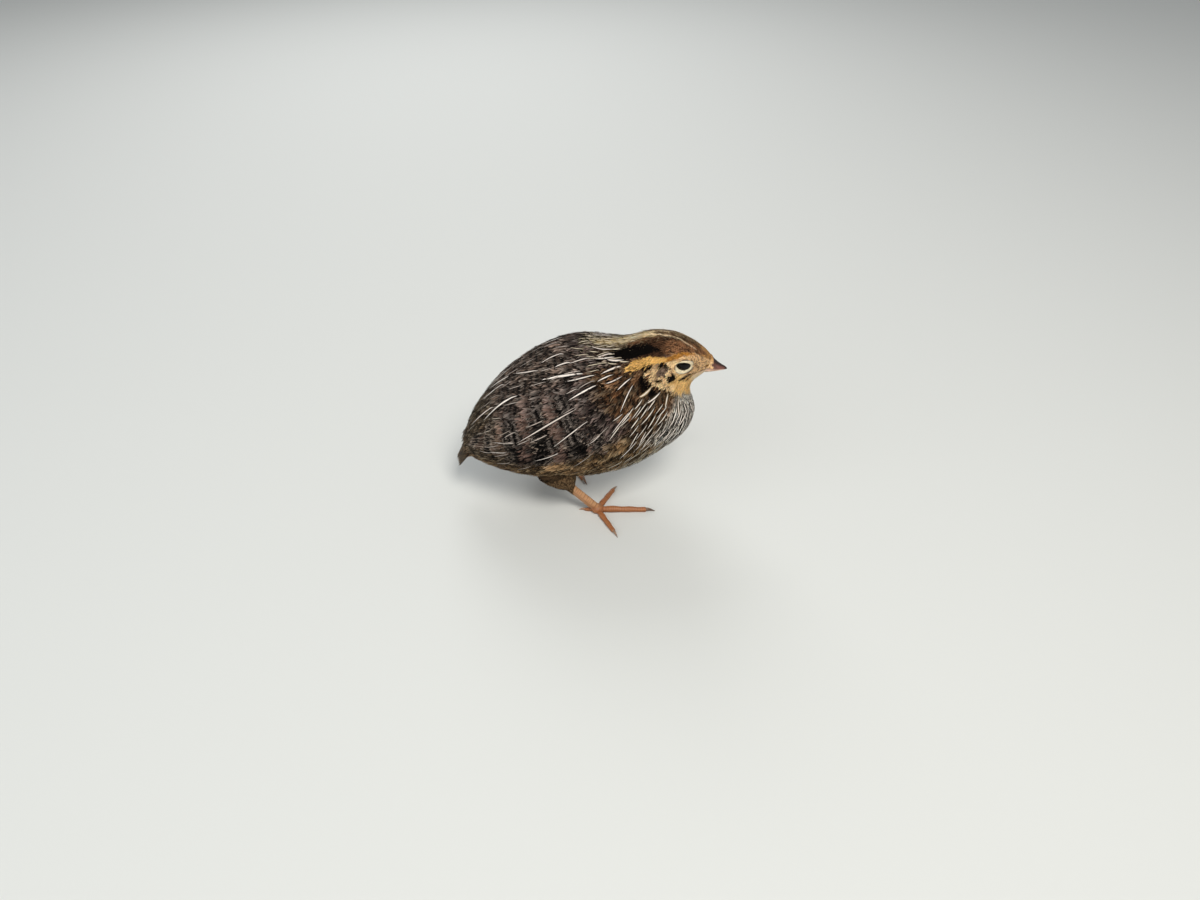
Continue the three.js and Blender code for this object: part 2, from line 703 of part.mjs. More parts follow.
// The tail: its root with the tail feathers as blades, and coverts over and under them.
function featheredTail(root) {
  const draw = seededDraw(5);
  const pieces = [root];
  const start = vector(TAIL.root[0], 0, TAIL.root[1]);
  const tip = vector(TAIL_TIP[0], 0, TAIL_TIP[1]);
  const full = start.distanceTo(tip);
  const along = tip.clone().sub(start).normalize();
  const up = vector(0, 1, 0).cross(along);
  const blade = (from, to, normal, width, lap) => {
    const length = from.distanceTo(to);
    const ahead = to.clone().sub(from).normalize();
    const side = normal.clone().cross(ahead).normalize();
    const lifted = ahead.clone().cross(side).normalize();
    return vane((e, x, h) => from.clone().addScaledVector(ahead, e)
      .addScaledVector(side, x)
      .addScaledVector(lifted, h + lap * x + TAIL.crown * Math.sin((Math.PI * e) / length)), length, width);
  };
  for (const side of [-1, 1]) {
    for (let k = 0; k < TAIL.pairs; k += 1) {
      const out = k + 0.5;
      const rootY = side * out * TAIL.rootSpacing;
      const tipY = side * out * TAIL.tipSpacing;
      const level = (side > 0 ? 0.12 : -0.12) - TAIL.lap * k;
      const reach = full - TAIL.shortening * k - (k > 0 || side > 0 ? 0.25 * Math.abs(draw()) : 0);
      const from = start.clone().addScaledVector(up, level - TAIL.droop * rootY ** 2);
      const to = start.clone().addScaledVector(along, reach)
        .addScaledVector(up, level - TAIL.droop * tipY ** 2);
      from.y = rootY;
      to.y = tipY;
      pieces.push(blade(from, to, up, TAIL.width, 0));
    }
  }
  for (const { count, middle, spread, reach } of [TAIL.over, TAIL.under]) {
    for (let k = 0; k < count; k += 1) {
      const place = k - (count - 1) / 2;
      const v = radians((middle + (spread * place) / ((count - 1) / 2) + 360) % 360);
      const from = surface(TAIL.covertRoot, v, -0.9);
      const normal = surface(TAIL.covertRoot, v, 0.1).sub(from).normalize();
      const ahead = surface(TAIL.covertRoot + 0.3, v).sub(surface(TAIL.covertRoot - 0.1, v)).normalize();
      const to = from.clone().addScaledVector(ahead, reach + 0.4 * draw())
        .addScaledVector(normal, 0.8 - 0.3 * Math.abs(place));
      pieces.push(blade(from, to, normal, 1.5 * TAIL.width, 0.05));
    }
  }
  return wasm.Manifold.union(pieces);
}

const quail = new THREE.Group();
quail.name = 'quail';
function place(name, geometry, material) {
  const mesh = new THREE.Mesh(geometry, material);
  mesh.name = name;
  quail.add(mesh);
}

const body = partBody();
let head = body.head.subtract(mouthSlit());
for (const side of [-1, 1]) {
  head = head.add(lidRing(side)).subtract(solid(eyeball(side, EYE.clearance)));
}
place('head', shape(head), FINISH.plumageHead);
place('neck', shape(body.neck), FINISH.plumageNeck);

const beds = [solid(wingBed()), solid(mirrored(wingBed()))];
const bedded = (part) => beds.reduce((left, bed) => left.subtract(bed), part);
place('torso', shape(bedded(body.torso)), FINISH.plumageBody);
place('tail', shape(bedded(featheredTail(body.tailRoot))), FINISH.plumageTail);
place('bill_upper', shape(upperBill()), FINISH.upperBill);
place('bill_lower', shape(billHalf(-1)), FINISH.lowerBill);

const torsoGrown = solid(loft(bodyRings(NECK_END - 1, SECTIONS.length - 1, 2, GAP + 0.05)));
const rightWing = shape(foldedWing());
for (const [side, name] of [[-1, 'right'], [1, 'left']]) {
  place(`eye_${name}`, eyeball(side), FINISH.eye);
  place(`wing_${name}`, side < 0 ? rightWing : mirrored(rightWing), FINISH.plumageWing);
  const foot = vector(side < 0 ? LEG.rightFoot : LEG.leftFoot, side * LEG.stance, LEG.ballHeight);
  const top = foot.clone().add(vector(-LEG.hockBack, side * -0.4, LEG.hockUp));
  const grown = shank(top, foot, 1.15 * GAP);
  place(`thigh_${name}`, shape(thigh(top, foot, torsoGrown, grown)), FINISH.plumageBody);
  place(`shank_${name}`, shape(shank(top, foot, 0)), FINISH.legSkin);
  for (const toe of TOES) {
    const { bareToe, claw } = toeAndClaw(toe, foot, side, grown);
    place(`toe_${toe.name}_${name}`, shape(bareToe), FINISH.legSkin);
    place(`claw_${toe.name}_${name}`, shape(claw), FINISH.claw);
  }
}

export default quail;
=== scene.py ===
# A young coturnix quail standing at rest, life size, dressed over its solids.
# Lengths are millimetres until a mesh is made: +X is ahead, +Y its left side, +Z up.
import bpy
from functools import partial
import numpy as np
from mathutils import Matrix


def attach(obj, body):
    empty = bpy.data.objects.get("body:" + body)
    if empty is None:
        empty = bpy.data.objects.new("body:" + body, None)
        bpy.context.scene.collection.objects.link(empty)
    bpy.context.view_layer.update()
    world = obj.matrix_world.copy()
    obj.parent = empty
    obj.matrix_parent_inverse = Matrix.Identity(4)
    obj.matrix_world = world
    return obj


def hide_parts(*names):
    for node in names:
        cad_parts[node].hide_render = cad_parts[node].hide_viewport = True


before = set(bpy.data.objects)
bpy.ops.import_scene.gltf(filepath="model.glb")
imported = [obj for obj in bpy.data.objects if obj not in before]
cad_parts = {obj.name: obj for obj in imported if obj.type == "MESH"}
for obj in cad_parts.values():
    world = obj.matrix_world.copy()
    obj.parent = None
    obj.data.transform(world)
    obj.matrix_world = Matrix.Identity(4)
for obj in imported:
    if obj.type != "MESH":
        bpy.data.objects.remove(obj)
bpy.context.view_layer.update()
draw = np.random.default_rng(29)
pi = np.pi
plastic = 1.32471795724475  # the plastic number, for even scatters
sideNames = {-1: "right", 1: "left"}


# Small helpers
def smooth(x, low, high):
    # 0 up to low, 1 from high, and 3f^2 - 2f^3 between
    f = np.clip((x - low) / (high - low), 0, 1)
    return f * f * (3 - 2 * f)


def bell(x, middle, spread):
    # exp(-((x - middle) / spread)^2)
    return np.exp(-((x - middle) / spread) ** 2)


def lerp(a, b, f):
    # a + (b - a) f
    return a + (b - a) * f


def linear(code):
    # an sRGB hex colour as linear red, green and blue
    c = np.array([int(code[i:i + 2], 16) for i in (1, 3, 5)]) / 255
    return np.where(c <= 0.04045, c / 12.92, ((c + 0.055) / 1.055) ** 2.4)


def through(values, place):
    # a Catmull-Rom curve through evenly spaced values, with ends that go on straight
    v = np.asarray(values, float)
    v = np.concatenate([[2 * v[0] - v[1]], v, [2 * v[-1] - v[-2]]])
    i = np.clip(np.floor(place).astype(int), 0, len(values) - 2)
    f = place - i
    a, b, c, d = v[i], v[i + 1], v[i + 2], v[i + 3]
    return 0.5 * (2 * b + (c - a) * f + (2 * a - 5 * b + 4 * c - d) * f ** 2
                  + (3 * b - a - 3 * c + d) * f ** 3)


def unit(p):
    # directions of length 1
    return p / np.maximum(np.linalg.norm(p, axis=-1, keepdims=True), 1e-9)


def opaque(tint):
    # rows of red, green and blue with an alpha of 1
    return np.concatenate([tint, np.ones((len(tint), 1))], 1)


def blocks(*values):
    # values of one number a feather, or one for all, shaped to meet rows along each feather
    # and columns across it
    return [np.reshape(value, (-1, 1, 1)) for value in values]


def chosen(values, mask):
    # those of a table's values that belong to some of the feathers
    return {key: value[mask] if np.ndim(value) else value for key, value in values.items()}


def scatter(count):
    # even places over a unit square: its two shares go on by 1 / p and 1 / p^2 a step, where
    # p is the plastic number
    k = np.arange(count)
    return (0.5 + k / plastic) % 1, (0.5 + k / plastic ** 2) % 1


# The outline of the plumage. Each section lies between a point of the back line and one of
# the under line, from the root of the bill to the root of the tail.
body = {
    "backX": [56.0, 52.8, 47.0, 38.6, 28.6, 17.1, 6.6, -3.4,
              -12.9, -21.9, -30.4, -38.9, -46.4, -52.9, -57.4],
    "backZ": [78.2, 81.6, 85.8, 89.4, 89.9, 86.4, 85.2, 85.3, 83.0, 78.4, 72.2, 64.4, 55.2, 45.5, 35.5],
    "underX": [53.6, 51.4, 48.8, 47.4, 47.2, 48.4, 49.6, 46.4, 36.2, 21.6, 2.6, -17.4, -33.9, -46.4, -54.4],
    "underZ": [70.4, 69.0, 67.0, 64.6, 60.6, 55.6, 49.2, 40.8, 31.6, 22.5, 18.0, 16.8, 18.2, 21.0, 23.0],
    "half": [3.0, 5.2, 7.8, 9.8, 11.6, 14.4, 19.0, 24.0, 27.6, 29.6, 29.6, 26.8, 21.5, 15.0, 8.0],
    "coat": [0.3, 0.45, 0.6, 0.75, 0.9, 1.15, 1.45, 1.7, 1.8, 1.8, 1.8, 1.8, 1.7, 1.5, 1.1],
}
lastSection = len(body["half"]) - 1
# Eye: the ball's middle and radius, the half width and height of the opening, those of the
# stone that feathers part round, the cornea's swelling, and the depth of the hollow in the
# skin with the distances within which it is full and beyond which there is none
eye = {
    "at": (42.9, 4.9, 78.4), "radius": 4.3, "opening": (2.8, 1.98), "parting": (4.6, 3.9), "cornea": 0.12,
    "hollow": (2.6, 2.2, 4.4),
}
tail = {"root": (-53.2, 31.5), "tip": (-63.4, 19.2), "pairs": 5}
face = [  # swellings: section, degrees from the back, spread in both, height
    (2.5, 56, 0.8, 13, 0.7),
    (1.3, 84, 0.5, 20, -0.5),
    (3.2, 118, 0.8, 22, 0.8),
    (3.8, 70, 0.6, 11, -1.2),
]


def outline(t, v):
    # The share down a section is (1 - cos v) / 2 and the width goes with sin v: v is 0 on
    # the back, pi / 2 on the right side and pi on the belly
    down = (1 - np.cos(v)) / 2
    x = lerp(through(body["backX"], t), through(body["underX"], t), down)
    z = lerp(through(body["backZ"], t), through(body["underZ"], t), down)
    return np.stack([x, -through(body["half"], t) * np.sin(v), z], -1)


def outward(t, v):
    # the normal, as the cross product of two small steps
    step = 0.02
    along = outline(np.clip(t + step, 0, lastSection), v) - outline(np.clip(t - step, 0, lastSection), v)
    around = outline(t, v + step) - outline(t, v - step)
    return unit(np.cross(along, around))


def degreesDown(v):
    # degrees from the back, alike on both sides
    turn = np.degrees(v) % 360
    return np.minimum(turn, 360 - turn)


def relief(t, v):
    # bell-shaped swellings of the face
    total = np.zeros(np.broadcast(t, v).shape)
    degrees = degreesDown(v)
    for section, middle, spreadT, spreadV, height in face:
        total += height * bell(t, section, spreadT) * bell(degrees, middle, spreadV)
    return total * smooth(-t, -4.8, -4.2)


def onBody(t, v, height):
    # the outline moved out along its normal
    return outline(t, v) + outward(t, v) * (height + relief(t, v))[..., None]


# The lie of the coat: feathers run back along lines of equal v, and s is the distance along
# them. The table turns s into a section.
lineT = np.linspace(0, lastSection, 449)
lineV = np.linspace(0, 2 * pi, 145)
lineReach = np.linalg.norm(np.diff(outline(lineT[:, None], lineV[None, :]), axis=0), axis=-1)
lineReach = np.concatenate([np.zeros((1, len(lineV))), np.cumsum(lineReach, axis=0)])
lineLength = lineReach[-1]
sectionAt = np.stack([np.interp(np.linspace(0, length, len(lineT)), reach, lineT)
                      for length, reach in zip(lineLength, lineReach.T)], 1)


def lookUp(table, row, column):
    # bilinear reading of a table at broken rows and columns
    row = np.clip(row, 0, table.shape[0] - 1.001)
    column = np.clip(column, 0, table.shape[1] - 1.001)
    i, j = row.astype(int), column.astype(int)
    f, g = row - i, column - j
    return (table[i, j] * (1 - f) * (1 - g) + table[i + 1, j] * f * (1 - g)
            + table[i, j + 1] * (1 - f) * g + table[i + 1, j + 1] * f * g)


def columnOf(v):
    # the tables' column at an angle
    return (v % (2 * pi)) / (2 * pi) * (len(lineV) - 1)


def backFrom(t, v):
    # distance along the lie of the coat at a section
    return lookUp(lineReach, t / lastSection * (len(lineT) - 1), columnOf(v))


def sectionFrom(s, v):
    # the section at a distance along the lie of the coat
    share = s / np.interp(v % (2 * pi), lineV, lineLength)
    return lookUp(sectionAt, np.clip(share, 0, 1) * (len(lineT) - 1), columnOf(v))


tailward = unit(np.array([tail["tip"][0] - tail["root"][0], 0, tail["tip"][1] - tail["root"][1]]))


def onCoat(s, v, height):
    # a point over the coat; past the last section it goes on towards the tail
    s, v, height = np.broadcast_arrays(s, v, height)
    t = sectionFrom(s, v)
    past = np.maximum(s - np.interp(v % (2 * pi), lineV, lineLength), 0)
    last = np.full(v.shape, float(lastSection))
    end = unit(outline(last, v) - outline(last - 0.2, v))
    way = unit(0.4 * end + 0.6 * tailward)
    return onBody(t, v, height) + past[..., None] * way


# Meshes
def meshFrom(name, points, faces, finish, replaces=(), uvs=None, values=None, creases=None):
    # a piece from points in millimetres and rows of triangles
    mesh = bpy.data.meshes.new(name)
    mesh.vertices.add(len(points))
    mesh.vertices.foreach_set("co", (points * 0.001).astype(np.float32).ravel())
    mesh.loops.add(faces.size)
    mesh.loops.foreach_set("vertex_index", faces.astype(np.int32).ravel())
    mesh.polygons.add(len(faces))
    mesh.polygons.foreach_set("loop_start", np.arange(0, faces.size, faces.shape[1], dtype=np.int32))
    mesh.update(calc_edges=True)
    for key, uv in (uvs or {}).items():
        layer = mesh.uv_layers.new(name=key)
        corners = uv if len(uv) == faces.size and len(uv) != len(points) else uv[faces.ravel()]
        layer.data.foreach_set("uv", corners.astype(np.float32).ravel())
    for key, value in (values or {}).items():
        colour = value.shape[1] == 4
        layer = mesh.attributes.new(key, "FLOAT_COLOR" if colour else "FLOAT_VECTOR", "POINT")
        layer.data.foreach_set("color" if colour else "vector", value.astype(np.float32).ravel())
    if creases is not None:
        ends = np.zeros(2 * len(mesh.edges), np.int32)
        mesh.edges.foreach_get("vertices", ends)
        layer = mesh.attributes.new("sharp_edge", "BOOLEAN", "EDGE")
        layer.data.foreach_set("value", creases[ends].reshape(-1, 2).all(1))
    mesh.materials.append(finish)
    piece = bpy.data.objects.new(name, mesh)
    bpy.context.scene.collection.objects.link(piece)
    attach(piece, "root")
    if replaces:
        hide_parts(*replaces)
    return piece


def gridFaces(rows, columns, closed=True, start=0):
    # two triangles for each cell of a grid of points, closed round its columns if asked
    i, j = np.meshgrid(np.arange(rows - 1), np.arange(columns if closed else columns - 1), indexing="ij")
    a = start + i * columns + j
    b = start + i * columns + (j + 1) % columns
    c, d = a + columns, b + columns
    return np.concatenate([np.stack([a, c, d], -1).reshape(-1, 3), np.stack([a, d, b], -1).reshape(-1, 3)])


def tube(rings):
    # a closed skin through rings of points, with a fan over each end
    rows, columns = rings.shape[:2]
    points = np.concatenate([rings.reshape(-1, 3), rings[:1].mean(1), rings[-1:].mean(1)])
    j = np.arange(columns)
    k = (j + 1) % columns
    first = np.stack([np.full(columns, rows * columns), j, k], -1)
    edge = (rows - 1) * columns
    last = np.stack([np.full(columns, rows * columns + 1), edge + k, edge + j], -1)
    faces = np.concatenate([gridFaces(rows, columns), first, last])
    return points, faces


def facingOut(points, faces):
    # turns the faces of a closed shape outwards by the sign of its volume
    a, b, c = (points[faces[:, i]] for i in range(3))
    inside = np.einsum("ij,ij->i", a, np.cross(b, c)).sum() < 0
    return faces[:, ::-1] if inside else faces


def joined(shapes):
    # several shapes as one
    points, faces, start = [], [], 0
    for p, f in shapes:
        points.append(p)
        faces.append(facingOut(p, f) + start)
        start += len(p)
    return np.concatenate(points), np.concatenate(faces)


def mirrored(points, faces):
    # the same shape on the other side, still facing out
    return points * np.array([1, -1, 1]), faces[:, ::-1]


# Feathers. A vane is a closed blade: its rows run from the quill to the tip and are closest
# where it shows, and its columns run across it.
vane = {
    "rows": np.array([0, 0.22, 0.4, 0.52, 0.6, 0.67, 0.74, 0.8, 0.86, 0.91, 0.96, 1.0]),
    "columns": np.array([-1, -0.5, 0, 0.5, 1.0]), "round": 0.62, "tip": 0.3, "hidden": 0.5, "rough": 1,
}
strand = {"rows": np.array([0, 0.38, 0.66, 0.86, 1.0]), "columns": np.array([-1, 0, 1.0]),
          "round": 0.42, "tip": 0.22, "hidden": 0.4, "rough": 1}
wisp = {"rows": np.array([0, 0.55, 1.0]), "thick": 0.15}


def bladeFaces(rows, columns):
    # one closed blade: triangles over the top, a flat strip below it, and both ends
    top = gridFaces(rows, columns, closed=False)
    i = np.arange(rows - 1) * columns
    left, right = i, i + columns - 1
    below = np.concatenate([np.stack([left, right, right + columns], -1),
                            np.stack([left, right + columns, left + columns], -1)])
    j = np.arange(1, columns - 1)
    tip = (rows - 1) * columns
    root = np.stack([np.zeros_like(j), j, j + 1], -1)
    end = np.stack([np.full_like(j, tip), tip + j + 1, tip + j], -1)
    return np.concatenate([top, below, root, end])


def spread(value, count):
    # one row a feather as one row a point
    return np.repeat(value, count, axis=0)


def plumePiece(name, points, faces, shaft, patch, looks, finish, replaces, creases=None):
    # points and shaft are arrays of one block for each feather, faces are those of one block
    n, size = len(points), points[0].size // 3
    faces = (faces[None] + (np.arange(n) * size)[:, None, None]).reshape(-1, 3)
    shaft = np.broadcast_to(shaft.reshape(-1, 2), (n, size, 2))
    uvs = {"feather": shaft.reshape(-1, 2),
           "OFBake": (patch[:, None, :] + patchSize * (shaft - 0.5)).reshape(-1, 2)}
    values = {key: spread(opaque(looks[:, lookAt[key]]), size) for key in ("ground", "mark", "pale")}
    values |= {key: spread(looks[:, lookAt[key]], size) for key in ("lines", "trim", "bands")}
    if creases is not None:
        creases = np.broadcast_to(creases.reshape(-1), (n, size)).ravel()
    print(name, n, "feathers,", len(faces), "triangles")
    return meshFrom(name, points.reshape(-1, 3), faces, finish, replaces, uvs, values, creases)


def featherPiece(name, place, feathers, looks, finish, replaces=(), form=vane, flip=False):
    # Vanes: a runs from the quill to the tip and b across. The half width grows as a^0.6
    # from the quill and closes roundly towards the tip, and the rim is cut into barbs that
    # point to the tip. The height climbs over the hidden share and then slopes gently,
    # and falls with b^2 on both sides of the shaft.
    a, b = form["rows"][None, :, None], form["columns"][None, None, :]
    part = {key: blocks(value)[0] for key, value in feathers.items() if key != "patch"}
    shape = (len(feathers["length"]), a.size, b.size)
    closing = np.clip((a - form["round"]) / (1 - form["round"]), 0, 1)
    fill = (np.minimum((a / 0.3 + 0.02) ** 0.6, 1)
            * (form["tip"] + (1 - form["tip"]) * np.sqrt(1 - closing ** 2.4)))
    rough = draw.uniform(-1, 1, shape) * form["rough"]
    tooth = np.where(np.arange(a.size) % 2 == 1, 1.0, -1.0)[None, :, None] * smooth(a, 0.3, 0.5) * b ** 2
    across = 0.5 * part["width"] * fill * b * (1 + part["ragged"] * (0.22 * tooth + 0.3 * rough * np.abs(b)))
    along = part["length"] * (a - 0.07 * b ** 2 * a)
    along = along + part["width"] * part["ragged"] * (0.12 * tooth + 0.2 * rough * smooth(a, 0.6, 1))
    climb = np.where(a < form["hidden"], smooth(a, -0.2, form["hidden"]), 1)
    late = np.maximum(a - form["hidden"], 0) / (1 - form["hidden"])
    height = lerp(part["quill"], part["tip"] - part["step"], climb) + part["step"] * late
    height = height + part["curl"] * late ** 3 + 0.05 * rough * late
    height = height + 0.5 * part["width"] * fill * (part["roll"] * b - part["camber"] * b ** 2)
    side = along * np.sin(part["turn"]) + across * np.cos(part["turn"]) + part["bend"] * along ** 2
    points = place(along * np.cos(part["turn"]) - across * np.sin(part["turn"]), side, height)
    faces = bladeFaces(a.size, b.size)
    if flip:
        points, faces = mirrored(points, faces)
    shaft = np.stack(np.broadcast_arrays((b + 1) / 2, a), -1)[0]
    edge = np.broadcast_to((np.abs(b) == 1) | (a == 0) | (a == 1), (1, a.size, b.size))
    return plumePiece(name, points, faces, shaft, feathers["patch"], looks, finish, replaces, edge)


def wispPiece(name, place, wisps, looks, finish):
    # Free barbs: three-sided spikes that thin towards the tip, rise from below the coat and
    # bend to one side
    a = wisp["rows"][None, :, None]
    corner = (np.arange(3) * 2 * pi / 3 + pi / 2)[None, None, :]
    part = {key: blocks(value)[0] for key, value in wisps.items() if key != "patch"}
    radius = 0.5 * wisp["thick"] * part["thick"] * (1 - 0.8 * a ** 1.5)
    along = part["length"] * a + 0 * corner
    side = along * np.sin(part["turn"]) + part["bend"] * along ** 2 - radius * np.cos(corner)
    height = lerp(part["quill"], part["tip"], a ** 1.3) + radius * np.sin(corner)
    points = place(along * np.cos(part["turn"]), side, height)
    faces = np.concatenate([gridFaces(a.size, 3), [[0, 1, 2]], 3 * (a.size - 1) + np.array([[0, 2, 1]])])
    shaft = np.stack(np.broadcast_arrays(np.full((1, a.size, 3), 0.5), a), -1)[0]
    return plumePiece(name, points, faces, shaft, wisps["patch"], looks, finish, ())


# Plumage
# Where a look keeps its three colours, the half width of the pale shaft as a share of the
# vane's, the spacing of the bars in mm, how strongly it is barred, edged and blotted, the
# share of ground between bars, how far these have pale rims, how broken they are, and, for
# one feather, the phase of its bars
lookAt = {
    "ground": slice(0, 3), "mark": slice(3, 6), "pale": slice(6, 9), "shaft": 9, "bars": 10, "barred": 11,
    "edge": 12, "blots": 13, "rim": 15, "colours": slice(0, 9), "lines": slice(9, 12), "trim": slice(12, 15),
    "bands": slice(15, 18), "drawn": slice(9, 14), "barsToBlots": slice(11, 14),
}
brightest = 0.92  # of any colour of a feather, linear
patchSize = 0.0028  # of one feather on the map that is baked


def look(ground, mark, pale, shaft, bars, barred, edge, blots=0, duty=0.5, rim=0.0, mottle=0.5):
    # what the coat looks like at a place, in the order of lookAt
    return np.concatenate([linear(ground), linear(mark), linear(pale),
                           [shaft, bars, barred, edge, blots, duty, rim, mottle]])


kinds = {
    "mantle": look("#050303", "#846f67", "#cdbdb3", 0, 3.4, 0.25, 0.35, 0.9, 0.6, 0, 0.9),
    "back": look("#060404", "#847063", "#cbbcae", 0, 3.2, 0.3, 0.35, 0.9, 0.6, 0, 0.9),
    "shoulder": look("#050404", "#66544f", "#b8a59b", 0, 3.6, 0.2, 0.35, 0.8, 0.6, 0, 0.9),
    "covert": look("#030202", "#675249", "#c3b4a8", 0, 3.3, 0, 0.12, 1.0, 0.8, 0.5, 0.15),
    "flank": look("#0c0805", "#957552", "#cbb08a", 0, 2.3, 0.4, 0.6, 1.0, 0.5, 0, 0.9),
    "rearFlank": look("#0d0906", "#94745a", "#cdb48e", 0, 2.3, 0.4, 0.6, 1.0, 0.5, 0.2, 0.9),
    "belly": look("#8d7859", "#5a4630", "#d3bf9a", 0, 3.2, 0.3, 0.1, 0.4, 0.6, 0, 1.0),
    "vent": look("#6d543b", "#140d08", "#b79f78", 0, 2.4, 0.8, 0.3, 0.5, 0.5, 0.1, 0.8),
    "rump": look("#0a0806", "#6b5947", "#bfae95", 0, 2.8, 0.4, 0.4, 0.9, 0.5, 0.1, 1.0),
    "neckSide": look("#0a0705", "#80593c", "#d9b994", 0, 3.0, 0.3, 0.3, 0.8, 0.5, 0, 1.1),
    "breast": look("#120c08", "#eee2d0", "#fdf6ea", 0, 2.6, 0.3, 0.9, 1.0, 0.5, 0, 1.0),
    "lowBreast": look("#20150d", "#c9b18a", "#f0e2c6", 0, 2.8, 0.3, 0.8, 1.0, 0.5, 0, 1.0),
    "nape": look("#3d2b1d", "#0a0706", "#e6d3b0", 0, 2.2, 0.3, 0.7, 0.8, 0.5, 0, 1.0),
    "crown": look("#9a6a48", "#0d0705", "#d0a780", 0, 0.8, 0.5, 0.25, 0.95, 0.45, 0.1, 1.6),
    "crownTop": look("#6e4f38", "#0a0605", "#c5a27b", 0, 0.8, 0.4, 0.25, 0.95, 0.45, 0.1, 1.6),
    "crownRear": look("#3f2a1d", "#080504", "#9c7350", 0, 0.8, 0.3, 0.2, 0.95, 0.45, 0.1, 1.6),
    "black": look("#070504", "#030202", "#2f241c", 0, 2.0, 0, 0.12, 0.3),
    "forehead": look("#cc9558", "#472813", "#efcf9c", 0, 0.7, 0.3, 0.3, 0.8, 0.6, 0, 1.6),
    "orange": look("#b87c35", "#6d4018", "#e6b972", 0, 1.0, 0.2, 0.3, 0.6, 0.65, 0, 1.3),
    "yellow": look("#e6b364", "#b27c38", "#f8dca2", 0, 1.2, 0.15, 0.35, 0.4, 0.7, 0, 1.2),
    "cream": look("#ecc08a", "#643617", "#fcebd0", 0, 0.8, 0.2, 0.35, 0.85, 0.65, 0, 1.5),
    "cheek": look("#f0cd96", "#a5622f", "#fdf0d8", 0, 1.2, 0.2, 0.35, 0.6, 0.7, 0, 1.3),
    "throat": look("#ecc078", "#ad6f33", "#fbe6ba", 0, 1.4, 0.15, 0.35, 0.5, 0.7, 0, 1.2),
    "chin": look("#f0d8b2", "#bf9662", "#faeed8", 0, 1.4, 0.15, 0.3, 0.4, 0.75, 0, 1.2),
    "ear": look("#7b6555", "#160d09", "#b9a18c", 0, 0.9, 0.4, 0.35, 0.95, 0.5, 0, 1.7),
    "spot": look("#0b0705", "#040302", "#33241a", 0, 2.0, 0, 0.05, 0.3),
    "lid": look("#f7e2bf", "#d9bb8b", "#fdeed2", 0, 0.7, 0.1, 0.3, 0, 0.7, 0, 1.0),
    "gape": look("#f0d2b2", "#bd9069", "#f7e6cd", 0, 0.8, 0.1, 0.3, 0.3, 0.7, 0, 1.0),
    "nasal": look("#7c5626", "#3d280f", "#a97f45", 0, 0.8, 0.3, 0.2, 0.6, 0.6, 0, 1.2),
    "flight": look("#030202", "#48382f", "#a59586", 0.05, 12.3, 0.9, 0.12, 0, 0.5, 0.5, 0.5),
    "fuzz": look("#c9ae7c", "#47311f", "#f1e3c2", 0, 2.2, 0.2, 0.5, 0.75, 0.5, 0, 1.0),
    "tail": look("#0b0807", "#4a3b2d", "#b09672", 0.05, 2.6, 0.7, 0.3, 0, 0.6, 0.2, 0.7),
}

# Broad areas, in order: kind, sections from and to, degrees from and to, and the softness
areas = [
    ("back", 7.5, 12.5, -30, 40, 1.2, 24),
    ("shoulder", 6.5, 10.5, 62, 110, 0.9, 14),
    ("covert", 8.6, 12.4, 50, 97, 0.6, 12),
    ("rump", 11.6, 16, -30, 110, 1.0, 25),
    ("flank", 7.6, 12.4, 97, 190, 0.9, 9),
    ("rearFlank", 11.8, 15, 96, 160, 0.9, 12),
    ("belly", 8.6, 13.6, 156, 200, 0.8, 14),
    ("vent", 12.4, 16, 140, 200, 0.7, 16),
    ("neckSide", 4.6, 7.6, 40, 122, 0.6, 14),
    ("breast", 3.9, 7.8, 116, 200, 0.25, 12),
    ("lowBreast", 7.5, 9.0, 132, 200, 0.5, 14),
    ("nape", 4.4, 6.2, -30, 34, 0.9, 16),
    ("crown", 0.5, 4.9, -30, 54, 0.3, 6),
    ("crownTop", 1.5, 4.8, -30, 22, 0.6, 14),
    ("crownRear", 3.5, 4.9, 16, 56, 0.9, 10),
    ("forehead", -1, 1.4, -30, 62, 0.8, 12),
    ("cream", -1, 3.4, 47, 120, 0.25, 8),
    ("cheek", 3.2, 4.95, 64, 112, 0.3, 8),
    ("throat", 1.6, 4.3, 104, 200, 0.35, 10),
    ("throat", 3.5, 4.7, 96, 126, 0.3, 6),
    ("chin", -1, 2.6, 112, 200, 0.8, 12),
]
